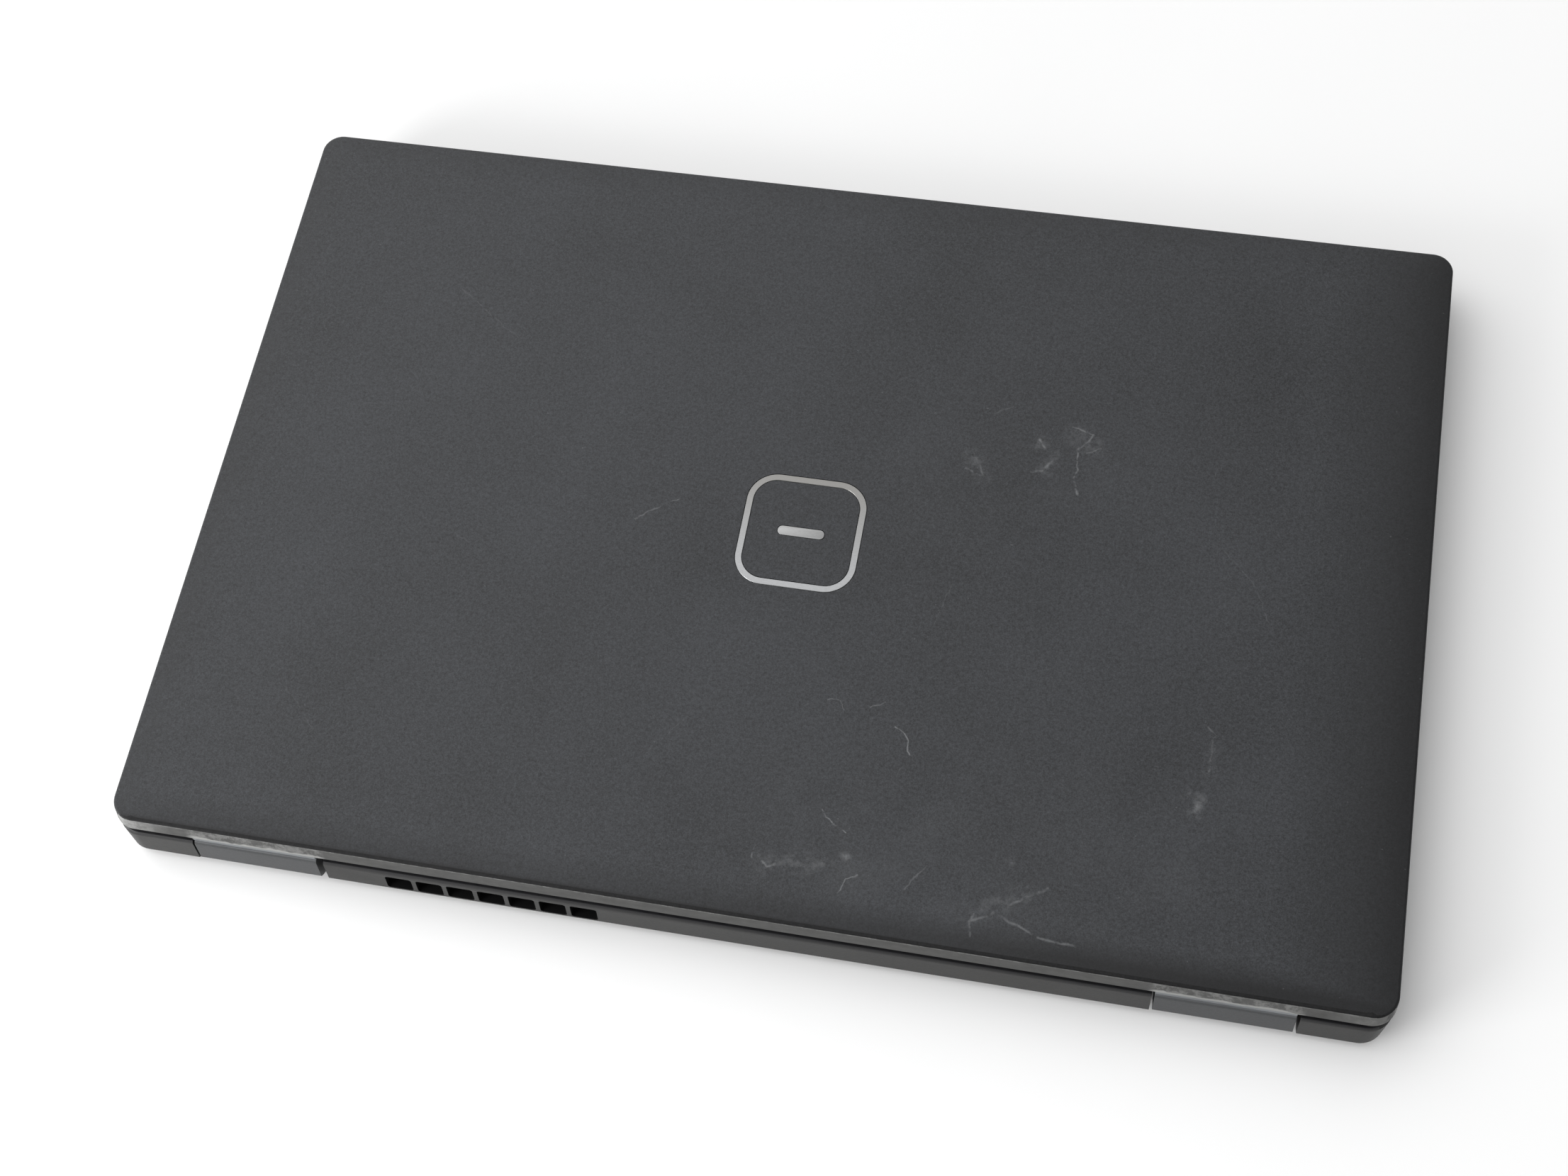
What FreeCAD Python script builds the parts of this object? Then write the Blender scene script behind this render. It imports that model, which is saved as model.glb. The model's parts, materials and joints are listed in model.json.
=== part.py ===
import FreeCAD
import Part
import math
import os
import re
import Sketcher
from FreeCAD import Rotation, Vector

# A 15.6-inch laptop computer with its lid closed, in millimetres.
# +X is the user's right, +Y the hinge side, +Z up. The origin is on the surface it stands on,
# under the middle of its outline. Every sub-part is one object whose Label names its file.

DIMENSIONS = {
    # Lid
    "lid_width": 361.0,
    "lid_front_y": -120.37,
    "lid_top_z": 18.0,
    "lid_top_rear_y": 116.25,
    "lid_rear_y": 117.8,
    "lid_chin_z": 13.8,
    "lid_chin_front_y": 110.8,
    "lid_seam_z": 12.9,
    "lid_bottom_z": 12.1,
    "lid_skin": 1.4,
    "lid_corner": 6.0,
    "lid_edge_round": 0.85,
    "lid_rear_round": 0.6,
    "lid_crown": 0.5,
    "lid_crown_reach": 17.0,
    "lid_rear_reach": 8.0,
    "lid_hollow_corner": 4.6,
    # Base shell
    "base_width": 360.0,
    "base_front_y": -120.0,
    "base_corner": 7.0,
    "base_draft": 1.0,
    "deck_z": 11.6,
    "deck_skin": 1.5,
    "deck_edge": 0.7,
    "rear_wall_top_y": 118.7,
    "rear_wall_low_y": 120.37,
    "keel_z": 3.4,
    "keel_height": 2.45,
    "keel_inset": 8.0,
    "seam_z": 2.6,
    "seam_gap": 0.1,
    "base_bottom_z": 1.0,
    "floor_z": 2.3,
    "wall_inner_x": 176.8,
    "wall_inner_front_y": -117.0,
    "wall_inner_rear_y": 116.9,
    # Hinge line
    "hinge_y": 114.6,
    "hinge_z": 6.8,
    "hinge_sweep": 6.7,
    "notch_inner_x": 116.9,
    "notch_outer_x": 156.2,
    "notch_front_y": 107.6,
    "notch_wall": 1.5,
    "cap_radius": 6.45,
    "cap_wall": 1.2,
    "right_cap_inner_x": 119.0,
    "right_cap_outer_x": 155.6,
    "left_cap_inner_x": 117.7,
    "left_cap_outer_x": 155.2,
    "neck_front_y": 111.6,
    "neck_rear_y": 117.8,
    "shaft_radius": 1.3,
    "shaft_clearance": 0.04,
    "knuckle_radius": 2.25,
    "arm_inner_x": 143.0,
    "arm_outer_x": 150.0,
    "arm_front_y": 112.7,
    "leaf_front_y": 70.0,
    "leaf_thickness": 0.8,
    "bracket_inner_x": 158.0,
    "bracket_outer_x": 171.0,
    "bracket_front_y": 92.0,
    "slot_front_y": 112.4,
    "slot_rear_y": 114.9,
    # Vents
    "vent_first_x": 37.05,
    "vent_pitch": 9.03,
    "vent_width": 7.7,
    "vent_low_z": 3.9,
    "vent_high_z": 9.6,
    "vent_corner": 0.8,
    # Keyboard
    "key_pitch": 17.8,
    "numpad_pitch": 15.0,
    "function_pitch": 13.0,
    "key_gap": 2.2,
    "key_opening": 0.3,
    "keyboard_left_x": -165.0,
    "keyboard_rear_y": 86.0,
    "numpad_gap": 3.0,
    "keyboard_recess": 0.3,
    "key_top_z": 11.45,
    "key_low_z": 10.15,
    "plate_z": 8.3,
    "plate_thickness": 0.4,
    "dome_height": 0.2,
    "plate_margin_x": 0.6,
    "plate_margin_y": 3.4,
    # Touchpad and power button
    "pad_centre_x": -30.0,
    "pad_width": 105.0,
    "pad_front_y": -108.0,
    "pad_rear_y": -42.0,
    "pad_top_z": 11.45,
    "pad_thickness": 1.2,
    "pad_gap": 0.4,
    "tray_z": 9.0,
    "tray_thickness": 0.6,
    "power_x": 146.0,
    "power_y": 96.0,
    "power_width": 14.0,
    "power_depth": 6.0,
    # Display
    "active_width": 344.2,
    "active_front_y": -107.5,
    "active_rear_y": 86.1,
    "bezel_thickness": 0.75,
    "panel_z": 12.95,
    "panel_thickness": 2.8,
    "camera_y": -114.0,
    "camera_width": 44.0,
    "camera_low_z": 13.6,
    "camera_high_z": 15.4,
    "lens_radius": 1.3,
    "lens_low_z": 13.3,
    "leaf_left_x": 2.2,
    "leaf_right_x": 8.2,
    "leaf_depth": 4.0,
    "leaf_low_z": 12.9,
    "leaf_high_z": 13.2,
    "knob_left_x": 6.1,
    "knob_right_x": 7.6,
    "knob_low_z": 12.25,
    "slit_left_x": 2.0,
    "slit_right_x": 7.8,
    "slit_depth": 1.4,
    "panel_width": 350.0,
    "panel_front_y": -110.5,
    "glass_rear_y": 92.0,
    "driver_left_x": -150.0,
    "driver_right_x": 138.0,
    "driver_rear_y": 103.0,
    "speaker_width": 42.0,
    "speaker_ring_radius": 14.0,
    "speaker_dish_radius": 12.0,
    "foot_inner_x": 100.0,
    "foot_outer_x": 150.0,
    "spreader_low_z": 5.6,
    "eye_radius": 1.5,
    "bumper_radius": 2.4,
    # Inside
    "board_z": 3.6,
    "board_thickness": 1.2,
    "card_lift": 0.8,
    "card_thickness": 0.8,
    "chip_height": 0.6,
    "fan_x": 72.0,
    "fan_y": 83.0,
    "fan_radius": 19.0,
    "fan_low_z": 2.5,
    "fan_high_z": 7.0,
    "fan_wall": 0.5,
    "fan_room": 1.6,
    "blade_height": 2.7,
    "hub_radius": 8.0,
    "spindle_radius": 1.0,
    "fin_front_y": 105.2,
    "fin_pitch": 2.2,
    "fin_thickness": 0.4,
    "fin_low_z": 2.7,
    "fin_high_z": 9.6,
    "pipe_low_z": 5.9,
    "pipe_high_z": 7.1,
    "pipe_front_y": 107.0,
    "pipe_rear_y": 114.0,
    "speaker_x": 141.0,
    "speaker_y": -83.0,
    "speaker_top_z": 7.4,
    "case_low_z": 2.4,
    "battery_top_z": 8.6,
    # Small parts
    "emblem_width": 36.0,
    "emblem_band": 2.0,
    "emblem_depth": 0.4,
    "emblem_corner": 9.0,
    "bar_length": 14.0,
    "bar_width": 3.0,
    "foot_corner": 4.4,
    "boss_radius": 2.8,
    "screw_head_radius": 2.2,
    "screw_radius": 1.0,
    "cable_radius": 0.75,
    "jack_bore": 1.8,
    "jack_radius": 2.6,
    "jack_length": 15.0,
    "dc_radius": 3.0,
    "dc_bore": 2.3,
    "dc_length": 12.0,
    "window_gap": 0.15,
}
SHEET = "Dims"
ZERO = "0.0"
FIN_COUNT = 28
BLADE_COUNT = 21
CROWN_SHARES = (0.12, 0.3, 0.6, 1)
INTAKE_COUNT = 8
INTAKE_CIRCLE = 13.5
ROTOR_Z = "fan_low_z + 0.9"
VENT_COUNT = 7
SIDES = {"right": 1, "left": -1}
CABLE_SLOT_X = ("-125.4", "-122.6")
INTAKE_PITCH_X = 15
INTAKE_PITCH_Y = 6.5
INTAKE_LENGTH = 12
INTAKE_WIDTH = 3

doc = FreeCAD.newDocument("laptop")
NODES = []


# ------------------------------------------------------------------ sheet and helpers


def make_sheet():
    """The driving dimensions, one alias a row."""
    sheet = doc.addObject("Spreadsheet::Sheet", SHEET)
    for row, (alias, size) in enumerate(DIMENSIONS.items(), start=1):
        sheet.set(f"A{row}", alias)
        sheet.set(f"B{row}", str(size))
        sheet.setAlias(f"B{row}", alias)
    doc.recompute()
    return sheet


def bound(text):
    """An expression in which each alias is read from the sheet."""

    def named(word):
        return f"{SHEET}.{word[0]}" if word[0] in DIMENSIONS else word[0]

    return re.sub(r"[a-z_]+", named, str(text))


def number(text):
    """The present value of an expression over the sheet."""
    return float(dims.evalExpression(bound(text)))


def keep(obj, label):
    """Name a finished sub-part and put it on the list of files to write."""
    obj.Label = label
    NODES.append(obj)


def block(name, x_range, y_range, z_range):
    """A box between two values along each axis."""
    box = doc.addObject("Part::Box", name)
    ranges = {"Length": ("x", x_range), "Width": ("y", y_range), "Height": ("z", z_range)}
    for size, (axis, (low, high)) in ranges.items():
        box.setExpression(size, bound(f"({high}) - ({low})"))
        box.setExpression(f"Placement.Base.{axis}", bound(low))
    return box


AXIS_TURNS = {"x": Rotation(Vector(0, 1, 0), 90), "z": Rotation()}


def rod(name, radius, start, length, axis="z"):
    """A cylinder that leaves its start point along +X or +Z."""
    cylinder = doc.addObject("Part::Cylinder", name)
    cylinder.Placement.Rotation = AXIS_TURNS[axis]
    cylinder.setExpression("Radius", bound(radius))
    cylinder.setExpression("Height", bound(length))
    for direction, place in zip("xyz", start):
        cylinder.setExpression(f"Placement.Base.{direction}", bound(place))
    return cylinder


def group(name, shapes):
    """Several shapes as one compound."""
    compound = doc.addObject("Part::Compound", name)
    compound.Links = shapes
    return compound


def fuse(name, *shapes):
    """The union of several shapes."""
    union = doc.addObject("Part::MultiFuse", name)
    union.Shapes = list(shapes)
    union.Refine = True
    return union


def cut(name, base, *tools):
    """The base without the tools."""
    remainder = doc.addObject("Part::Cut", name)
    remainder.Base = base
    remainder.Tool = tools[0] if len(tools) == 1 else group(name + "_tools", list(tools))
    return remainder


def common(name, first, second):
    """What two shapes share."""
    shared = doc.addObject("Part::MultiCommon", name)
    shared.Shapes = [first, second]
    return shared


def origin_plane(body, role):
    """One of a body's own origin planes."""
    return next(feature for feature in body.Origin.OriginFeatures if feature.Role == role)


def new_sketch(body, name, plane, offset):
    """An empty sketch in a body, at a distance from one of its origin planes."""
    sketch = body.newObject("Sketcher::SketchObject", name)
    sketch.AttachmentSupport = [(origin_plane(body, plane), "")]
    sketch.MapMode = "FlatFace"
    sketch.setExpression("AttachmentOffset.Base.z", bound(offset))
    return sketch


def constrain(sketch, kind, geometry, point, text):
    """Hold a point of the sketch at a bound distance from the sketch's origin."""
    index = sketch.addConstraint(Sketcher.Constraint(kind, -1, 1, geometry, point, number(text)))
    sketch.setExpression(f"Constraints[{index}]", bound(text))


def rounded_rectangle(body, name, plane, offset, u_range, v_range, corner):
    """A rectangle with equal round corners, held by the sheet on all four sides."""
    sketch = new_sketch(body, name, plane, offset)
    left, right = (number(text) for text in u_range)
    low, high = (number(text) for text in v_range)
    radius = number(corner)
    sides = [
        ((left + radius, low), (right - radius, low), (right - radius, low + radius)),
        ((right, low + radius), (right, high - radius), (right - radius, high - radius)),
        ((right - radius, high), (left + radius, high), (left + radius, high - radius)),
        ((left, high - radius), (left, low + radius), (left + radius, low + radius)),
    ]
    for quarter, (start, end, centre) in enumerate(sides, start=-1):
        sketch.addGeometry(Part.LineSegment(Vector(*start, 0), Vector(*end, 0)), False)
        circle = Part.Circle(Vector(*centre, 0), Vector(0, 0, 1), radius)
        turn = quarter * math.pi / 2
        sketch.addGeometry(Part.ArcOfCircle(circle, turn, turn + math.pi / 2), False)
    for edge in range(8):
        sketch.addConstraint(Sketcher.Constraint("Tangent", edge, 2, (edge + 1) % 8, 1))
    for edge, kind in ((0, "Horizontal"), (2, "Vertical"), (4, "Horizontal"), (6, "Vertical")):
        sketch.addConstraint(Sketcher.Constraint(kind, edge))
    for arc in (3, 5, 7):
        sketch.addConstraint(Sketcher.Constraint("Equal", 1, arc))
    held = sketch.addConstraint(Sketcher.Constraint("Radius", 1, radius))
    sketch.setExpression(f"Constraints[{held}]", bound(corner))
    constrain(sketch, "DistanceY", 0, 1, v_range[0])
    constrain(sketch, "DistanceX", 2, 1, u_range[1])
    constrain(sketch, "DistanceY", 4, 1, v_range[1])
    constrain(sketch, "DistanceX", 6, 1, u_range[0])
    return sketch


def polygon(sketch, points):
    """A closed polygon whose corners are held by the sheet."""
    corners = [Vector(number(u), number(v), 0) for u, v in points]
    for index, corner in enumerate(corners):
        following = corners[(index + 1) % len(corners)]
        sketch.addGeometry(Part.LineSegment(corner, following), False)
    for index, (u, v) in enumerate(points):
        following = (index + 1) % len(points)
        sketch.addConstraint(Sketcher.Constraint("Coincident", index, 2, following, 1))
        constrain(sketch, "DistanceX", index, 1, u)
        constrain(sketch, "DistanceY", index, 1, v)


def plate(name, u_range, v_range, depth_range, corner, plane="XY_Plane"):
    """A round-cornered plate. On the XZ plane the depth runs along -Y."""
    body = doc.addObject("PartDesign::Body", name)
    offset = depth_range[0] if plane == "XY_Plane" else f"-({depth_range[1]})"
    sketch = rounded_rectangle(body, name + "_sketch", plane, offset, u_range, v_range, corner)
    pad = body.newObject("PartDesign::Pad", name + "_pad")
    pad.Profile = sketch
    pad.setExpression("Length", bound(f"({depth_range[1]}) - ({depth_range[0]})"))
    return body


def profile(name, points, x_range):
    """A prism along X whose section is a polygon of (y, z) points."""
    body = doc.addObject("PartDesign::Body", name)
    sketch = new_sketch(body, name + "_sketch", "YZ_Plane", x_range[0])
    polygon(sketch, points)
    pad = body.newObject("PartDesign::Pad", name + "_pad")
    pad.Profile = sketch
    pad.setExpression("Length", bound(f"({x_range[1]}) - ({x_range[0]})"))
    return body


def lofted(name, sections, corner):
    """A closed shell form through round-cornered outlines at several heights."""
    body = doc.addObject("PartDesign::Body", name)
    outlines = []
    for index, (height, half_width, front, rear) in enumerate(sections):
        u_range = (f"-({half_width})", half_width)
        title = f"{name}_outline_{index}"
        outlines.append(rounded_rectangle(body, title, "XY_Plane", height, u_range, (front, rear), corner))
    loft = body.newObject("PartDesign::AdditiveLoft", name + "_loft")
    loft.Profile = outlines[0]
    loft.Sections = outlines[1:]
    loft.Ruled = True
    return body


def mirrored(side, low, high):
    """A range along X on the right, or the same range on the left."""
    return (low, high) if side > 0 else (f"-({high})", f"-({low})")


def around(centre, size):
    """The range of a size about its middle."""
    return (f"({centre}) - ({size}) / 2", f"({centre}) + ({size}) / 2")


# ------------------------------------------------------------------ base shell


def keel_section(height):
    """The outline where the walls curve in under the base. The rear follows the lid's swing."""
    fall = f"(keel_z - ({height})) / keel_height"
    inset = f"base_draft + keel_inset * (1 - sqrt(1 - ({fall}) ^ 2))"
    rear = f"hinge_y + sqrt(hinge_sweep ^ 2 - (hinge_z - ({height})) ^ 2)"
    return (height, f"base_width / 2 - ({inset})", f"base_front_y + {inset}", rear)


def base_cover():
    """The bottom pan, with feet positions, air intake, screw holes and the two hinge notches."""
    heights = ("seam_z", "2.2", "1.8", "1.4", "1.15", "base_bottom_z")
    shell = lofted("cover_form", [keel_section(height) for height in heights], "base_corner")
    hollow = block(
        "cover_hollow",
        ("-wall_inner_x", "wall_inner_x"),
        ("wall_inner_front_y", "wall_inner_rear_y"),
        ("floor_z", "floor_z + 2"),
    )
    holes = []
    for index, (x, y) in enumerate(screw_places()):
        holes.append(rod(f"cover_hole_{index}", "screw_radius + 0.2", (x, y, ZERO), "4"))
        holes.append(rod(f"cover_recess_{index}", "screw_head_radius + 0.2", (x, y, ZERO), "floor_z - 0.7"))
    keep(cut("cover_cut", shell, hollow, *notches("cover"), *intake(), *holes), "base_cover")


def intake():
    """Five rows of three slots under the fan."""
    slots = []
    for row in range(5):
        for column in range(3):
            span_x = around(f"fan_x + {(column - 1) * INTAKE_PITCH_X}", INTAKE_LENGTH)
            span_y = around(f"fan_y + {(row - 2) * INTAKE_PITCH_Y}", INTAKE_WIDTH)
            slots.append(plate(f"intake_{row}_{column}", span_x, span_y, (ZERO, "floor_z + 1"), "1.2"))
    return slots


def screw_places():
    """Where the bottom cover is screwed to the palmrest frame."""
    front = [(x, -113.6) for x in (-170, -60, 60, 170)]
    middle = [(x, -28) for x in (-168, 168)]
    rear = [(x, 99) for x in (-140, -80, 0, 122)]
    return front + middle + rear


def notches(prefix):
    """Room for the two hinge caps, open to the rear, top and bottom."""
    return [
        block(
            f"{prefix}_notch_{name}",
            mirrored(side, "notch_inner_x", "notch_outer_x"),
            ("notch_front_y", "rear_wall_low_y + 5"),
            ("-1", "lid_top_z"),
        )
        for name, side in SIDES.items()
    ]


def palmrest_frame(keys):
    """The deck and walls: keyboard web, touchpad opening, vents, ports and screw bosses."""
    draft = "base_width / 2 - base_draft"
    sections = [keel_section("seam_z + seam_gap"), keel_section("3.05")]
    sections.append(("keel_z", draft, "base_front_y + base_draft", "rear_wall_low_y"))
    sections.append(("deck_z - deck_edge", "base_width / 2", "base_front_y", "rear_wall_top_y"))
    sections.append(("deck_z", "base_width / 2 - 0.3", "base_front_y + 0.3", "rear_wall_top_y - deck_edge"))
    form = lofted("frame_form", sections, "base_corner")
    hollow = block(
        "frame_hollow",
        ("-wall_inner_x", "wall_inner_x"),
        ("wall_inner_front_y", "wall_inner_rear_y"),
        (ZERO, "deck_z - deck_skin"),
    )
    shell = cut("frame_shell", form, hollow)
    additions = keyboard_ribs() + notch_walls() + bosses()
    solid = fuse("frame_solid", shell, *additions)
    openings = notches("frame") + [keyboard_recess(), pad_opening(), power_opening()]
    openings += key_openings(keys) + vents() + port_openings() + hinge_holes() + boss_bores()
    keep(cut("frame_cut", solid, *openings), "palmrest_frame")


def keyboard_span(margin):
    """The keyboard's range along X and Y with a margin round it."""
    right = f"keyboard_left_x + 15 * key_pitch + numpad_gap + 4 * numpad_pitch + ({margin})"
    front = f"keyboard_rear_y - function_pitch - 5 * key_pitch - ({margin})"
    return (f"keyboard_left_x - ({margin})", right), (front, f"keyboard_rear_y + ({margin})")


def keyboard_ribs():
    """The ribs under the deck that the keyboard plate is fastened to."""
    span_x, _ = keyboard_span("plate_margin_x")
    _, (outer_front, outer_rear) = keyboard_span("plate_margin_y")
    _, (inner_front, inner_rear) = keyboard_span("1.6")
    heights = ("plate_z + plate_thickness", "deck_z - deck_skin + 0.1")
    front_rib = block("front_rib", span_x, (outer_front, inner_front), heights)
    rear_rib = block("rear_rib", span_x, (inner_rear, outer_rear), heights)
    return [front_rib, rear_rib]


def notch_walls():
    """Solid blocks round the notches, so that the notches have walls."""
    return [
        block(
            f"notch_block_{name}",
            mirrored(side, "notch_inner_x - notch_wall", "notch_outer_x + notch_wall"),
            ("notch_front_y - notch_wall", "wall_inner_rear_y + 0.5"),
            ("seam_z + seam_gap", "deck_z - deck_skin + 0.1"),
        )
        for name, side in SIDES.items()
    ]


def bosses():
    """Screw bosses hanging from the deck."""
    return [
        rod(f"boss_{index}", "boss_radius", (x, y, "seam_z + seam_gap"), "deck_z - deck_skin - seam_z")
        for index, (x, y) in enumerate(screw_places())
    ]


def boss_bores():
    """The screws' holes in the bosses."""
    return [
        rod(f"boss_bore_{index}", "screw_radius + 0.1", (x, y, ZERO), "8")
        for index, (x, y) in enumerate(screw_places())
    ]


def keyboard_recess():
    """The keys stand in a shallow recess of the deck."""
    span_x, span_y = keyboard_span("plate_margin_x")
    return plate("keyboard_recess", span_x, span_y, ("deck_z - keyboard_recess", "deck_z + 1"), "2")


def key_openings(keys):
    """One opening in the web for each key."""
    return [
        block(
            f"key_opening_{index}",
            (f"{left} + key_gap / 2 - key_opening", f"{right} - key_gap / 2 + key_opening"),
            (f"{front} + key_gap / 2 - key_opening", f"{rear} - key_gap / 2 + key_opening"),
            ("deck_z - deck_skin - 1", "deck_z + 1"),
        )
        for index, (_, left, right, front, rear) in enumerate(keys)
    ]


def pad_opening():
    """The touchpad's opening in the deck."""
    width = "pad_width + 2 * pad_gap"
    depth = ("pad_front_y - pad_gap", "pad_rear_y + pad_gap")
    return plate("pad_opening", around("pad_centre_x", width), depth, ("deck_z - 3", "deck_z + 1"), "2.4")


def power_opening():
    """The power button's opening in the deck."""
    span_x = around("power_x", "power_width + 0.6")
    span_y = around("power_y", "power_depth + 0.6")
    return plate("power_opening", span_x, span_y, ("deck_z - 3", "deck_z + 1"), "2.3")


def vents():
    """Seven outlets in the rear wall behind the heat sink."""
    cutters = []
    for index in range(VENT_COUNT):
        start = f"vent_first_x + {index} * vent_pitch"
        span_x = (start, f"{start} + vent_width")
        depth = ("wall_inner_rear_y - 1", "rear_wall_low_y + 2")
        span_z = ("vent_low_z", "vent_high_z")
        cutters.append(plate(f"vent_{index}", span_x, span_z, depth, "vent_corner", "XZ_Plane"))
    return cutters


def hinge_holes():
    """Holes on the hinge line: one for each shaft and one for the display cable."""
    length = "notch_wall + 2"
    holes = [rod("cable_hole", "cable_radius + 0.4", on_hinge("-notch_inner_x - 1"), length, "x")]
    for name, side in SIDES.items():
        start, _ = mirrored(side, "notch_outer_x - 1", "notch_outer_x + notch_wall + 1")
        holes.append(rod(f"shaft_hole_{name}", "shaft_radius + 0.5", on_hinge(start), length, "x"))
    return holes


def on_hinge(x):
    """A point of the hinge line."""
    return (x, "hinge_y", "hinge_z")


# ------------------------------------------------------------------ ports


# name: (side, middle along Y, width along Y, low z, high z, length into the base, opening inset)
PORTS = {
    "ethernet_socket": (-1, 68, 16.0, 3.5, 10.0, 12.4, 1.0),
    "hdmi_socket": (-1, 46, 16.0, 4.2, 9.8, 12.0, 0.5),
    "usb_a_left": (-1, 26, 13.4, 4.2, 9.8, 12.4, 0.5),
    "usb_c_socket": (-1, 8, 9.8, 5.0, 8.8, 9.0, 0.4),
    "usb_a_rear_right": (1, 62, 13.4, 4.2, 9.8, 12.4, 0.5),
    "usb_a_front_right": (1, 42, 13.4, 4.2, 9.8, 12.4, 0.5),
    "card_reader": (1, -4, 26.0, 4.9, 7.9, 16.0, 0.3),
}
# Where each round socket's axis is, along Y and Z, and the lock slot's spans along Y and Z.
DC_IN = ("87", "6.8")
AUDIO = ("24", "5.7")
LOCK_SLOT = (("82", "89"), ("5.3", "8.3"))
PORT_FACE = "base_width / 2 - base_draft - 0.6"


def port_box(name, inset):
    """The box of a port, shrunk by an inset at the sides but running out past its face."""
    side, middle, width, low, high, length, _ = PORTS[name]
    outer = "base_width / 2 + 1" if inset else PORT_FACE
    inner = f"{PORT_FACE} - {length} + {inset}"
    return (
        mirrored(side, inner, outer),
        around(middle, width - 2 * inset),
        (f"{low + inset}", f"{high - inset}"),
    )


def port_openings():
    """The windows in the side walls through which the ports are reached."""
    windows = []
    outer = "base_width / 2 + 2"
    inner = "wall_inner_x - 3"
    for name, (side, middle, width, low, high, _, _) in PORTS.items():
        span_y = around(middle, f"{width} + 2 * window_gap")
        span_z = (f"{low} - window_gap", f"{high} + window_gap")
        windows.append(block(f"{name}_window", mirrored(side, inner, outer), span_y, span_z))
    reach = f"{outer} - ({inner})"
    windows.append(rod("dc_in_window", "dc_radius + window_gap", (f"-({outer})", *DC_IN), reach, "x"))
    windows.append(rod("audio_window", "jack_radius + window_gap", (inner, *AUDIO), reach, "x"))
    windows.append(block("lock_window", (inner, outer), *LOCK_SLOT))
    return windows


def socket(name):
    """A metal shell open at its outer end."""
    inset = PORTS[name][-1]
    outer = block(f"{name}_outer", *port_box(name, 0))
    inner = block(f"{name}_inner", *port_box(name, inset))
    return cut(f"{name}_shell", outer, inner)


def ports():
    """Every socket in the side walls."""
    for name in ("ethernet_socket", "hdmi_socket", "usb_c_socket", "card_reader"):
        keep(socket(name), name)
    usb_names = ("usb_a_left", "usb_a_rear_right", "usb_a_front_right")
    keep(group("usb_a_group", [socket(name) for name in usb_names]), "usb_a_sockets")
    barrel = rod("dc_barrel", "dc_radius", (f"-({PORT_FACE})", *DC_IN), "dc_length", "x")
    bore = rod("dc_hole", "dc_bore", (f"-({PORT_FACE}) - 1", *DC_IN), "dc_length - 1", "x")
    keep(cut("dc_in", barrel, bore), "dc_in_socket")
    audio_jack()


def audio_jack():
    """A round nose on a square case, bored for a 3.5 mm plug."""
    rear = f"{PORT_FACE} - jack_length"
    nose = rod("jack_nose", "jack_radius", (rear, *AUDIO), "jack_length", "x")
    case = block("jack_case", (rear, f"{PORT_FACE} - 3"), around(AUDIO[0], "6"), ("3.1", "8.2"))
    bore = rod("jack_hole", "jack_bore", (f"{rear} + 1", *AUDIO), "jack_length + 1", "x")
    keep(cut("jack", fuse("jack_solid", nose, case), bore), "audio_jack")


# ------------------------------------------------------------------ keyboard


# Each row of the main block as (node, width in key units); a row is 15 units wide.
MAIN_ROWS = (
    [("function_keys", 15 / 14)] * 14,
    [("number_keys", 1)] * 13 + [("backspace_key", 2)],
    [("tab_key", 1.5)] + [("top_letter_keys", 1)] * 12 + [("top_letter_keys", 1.5)],
    [("caps_lock_key", 1.75)] + [("home_letter_keys", 1)] * 11 + [("enter_key", 2.25)],
    [("left_shift_key", 2.25)] + [("bottom_letter_keys", 1)] * 10 + [("right_shift_key", 2.75)],
    [("control_keys", 1.25), ("control_keys", 1), ("control_keys", 1), ("control_keys", 1.25)]
    + [("space_bar", 5.25), ("control_keys", 1), ("control_keys", 1.25)],
)
# The arrow keys as (column, low, high) in parts of the last row.
ARROWS = ((12, 0, 0.5), (13, 0, 0.5), (13, 0.5, 1), (14, 0, 0.5))
# The keypad as (column, width, row, rows down), rows counted from the number row.
KEYPAD = (
    [(column, 1, 0, 1) for column in range(4)]
    + [(column, 1, 1, 1) for column in range(3)]
    + [(3, 1, 1, 2)]
    + [(column, 1, 2, 1) for column in range(3)]
    + [(column, 1, 3, 1) for column in range(3)]
    + [(3, 1, 3, 2), (0, 2, 4, 1), (2, 1, 4, 1)]
)


DOME_RADII = (2.6, 1.6)


def row_rear(row):
    """The rear edge of a keyboard row; row 0 is the low function row."""
    return "keyboard_rear_y" if row == 0 else f"keyboard_rear_y - function_pitch - {row - 1} * key_pitch"


def key_cells():
    """Every key's cell as (node, left, right, front, rear)."""
    cells = []
    for row, widths in enumerate(MAIN_ROWS):
        start = 0
        for node, width in widths:
            left = f"keyboard_left_x + {start:.5f} * key_pitch"
            right = f"keyboard_left_x + {start + width:.5f} * key_pitch"
            cells.append((node, left, right, row_rear(row + 1), row_rear(row)))
            start += width
    for column, low, high in ARROWS:
        left = f"keyboard_left_x + {column} * key_pitch"
        front = f"{row_rear(6)} + {low} * key_pitch"
        rear = f"{row_rear(6)} + {high} * key_pitch"
        cells.append(("arrow_keys", left, f"{left} + key_pitch", front, rear))
    pad_left = "keyboard_left_x + 15 * key_pitch + numpad_gap"
    for column in range(4):
        left = f"{pad_left} + {column} * numpad_pitch"
        cells.append(("function_keys", left, f"{left} + numpad_pitch", row_rear(1), row_rear(0)))
    for column, width, row, depth in KEYPAD:
        left = f"{pad_left} + {column} * numpad_pitch"
        right = f"{left} + {width} * numpad_pitch"
        cells.append(("numpad_keys", left, right, row_rear(row + 1 + depth), row_rear(row + 1)))
    return cells


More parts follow.
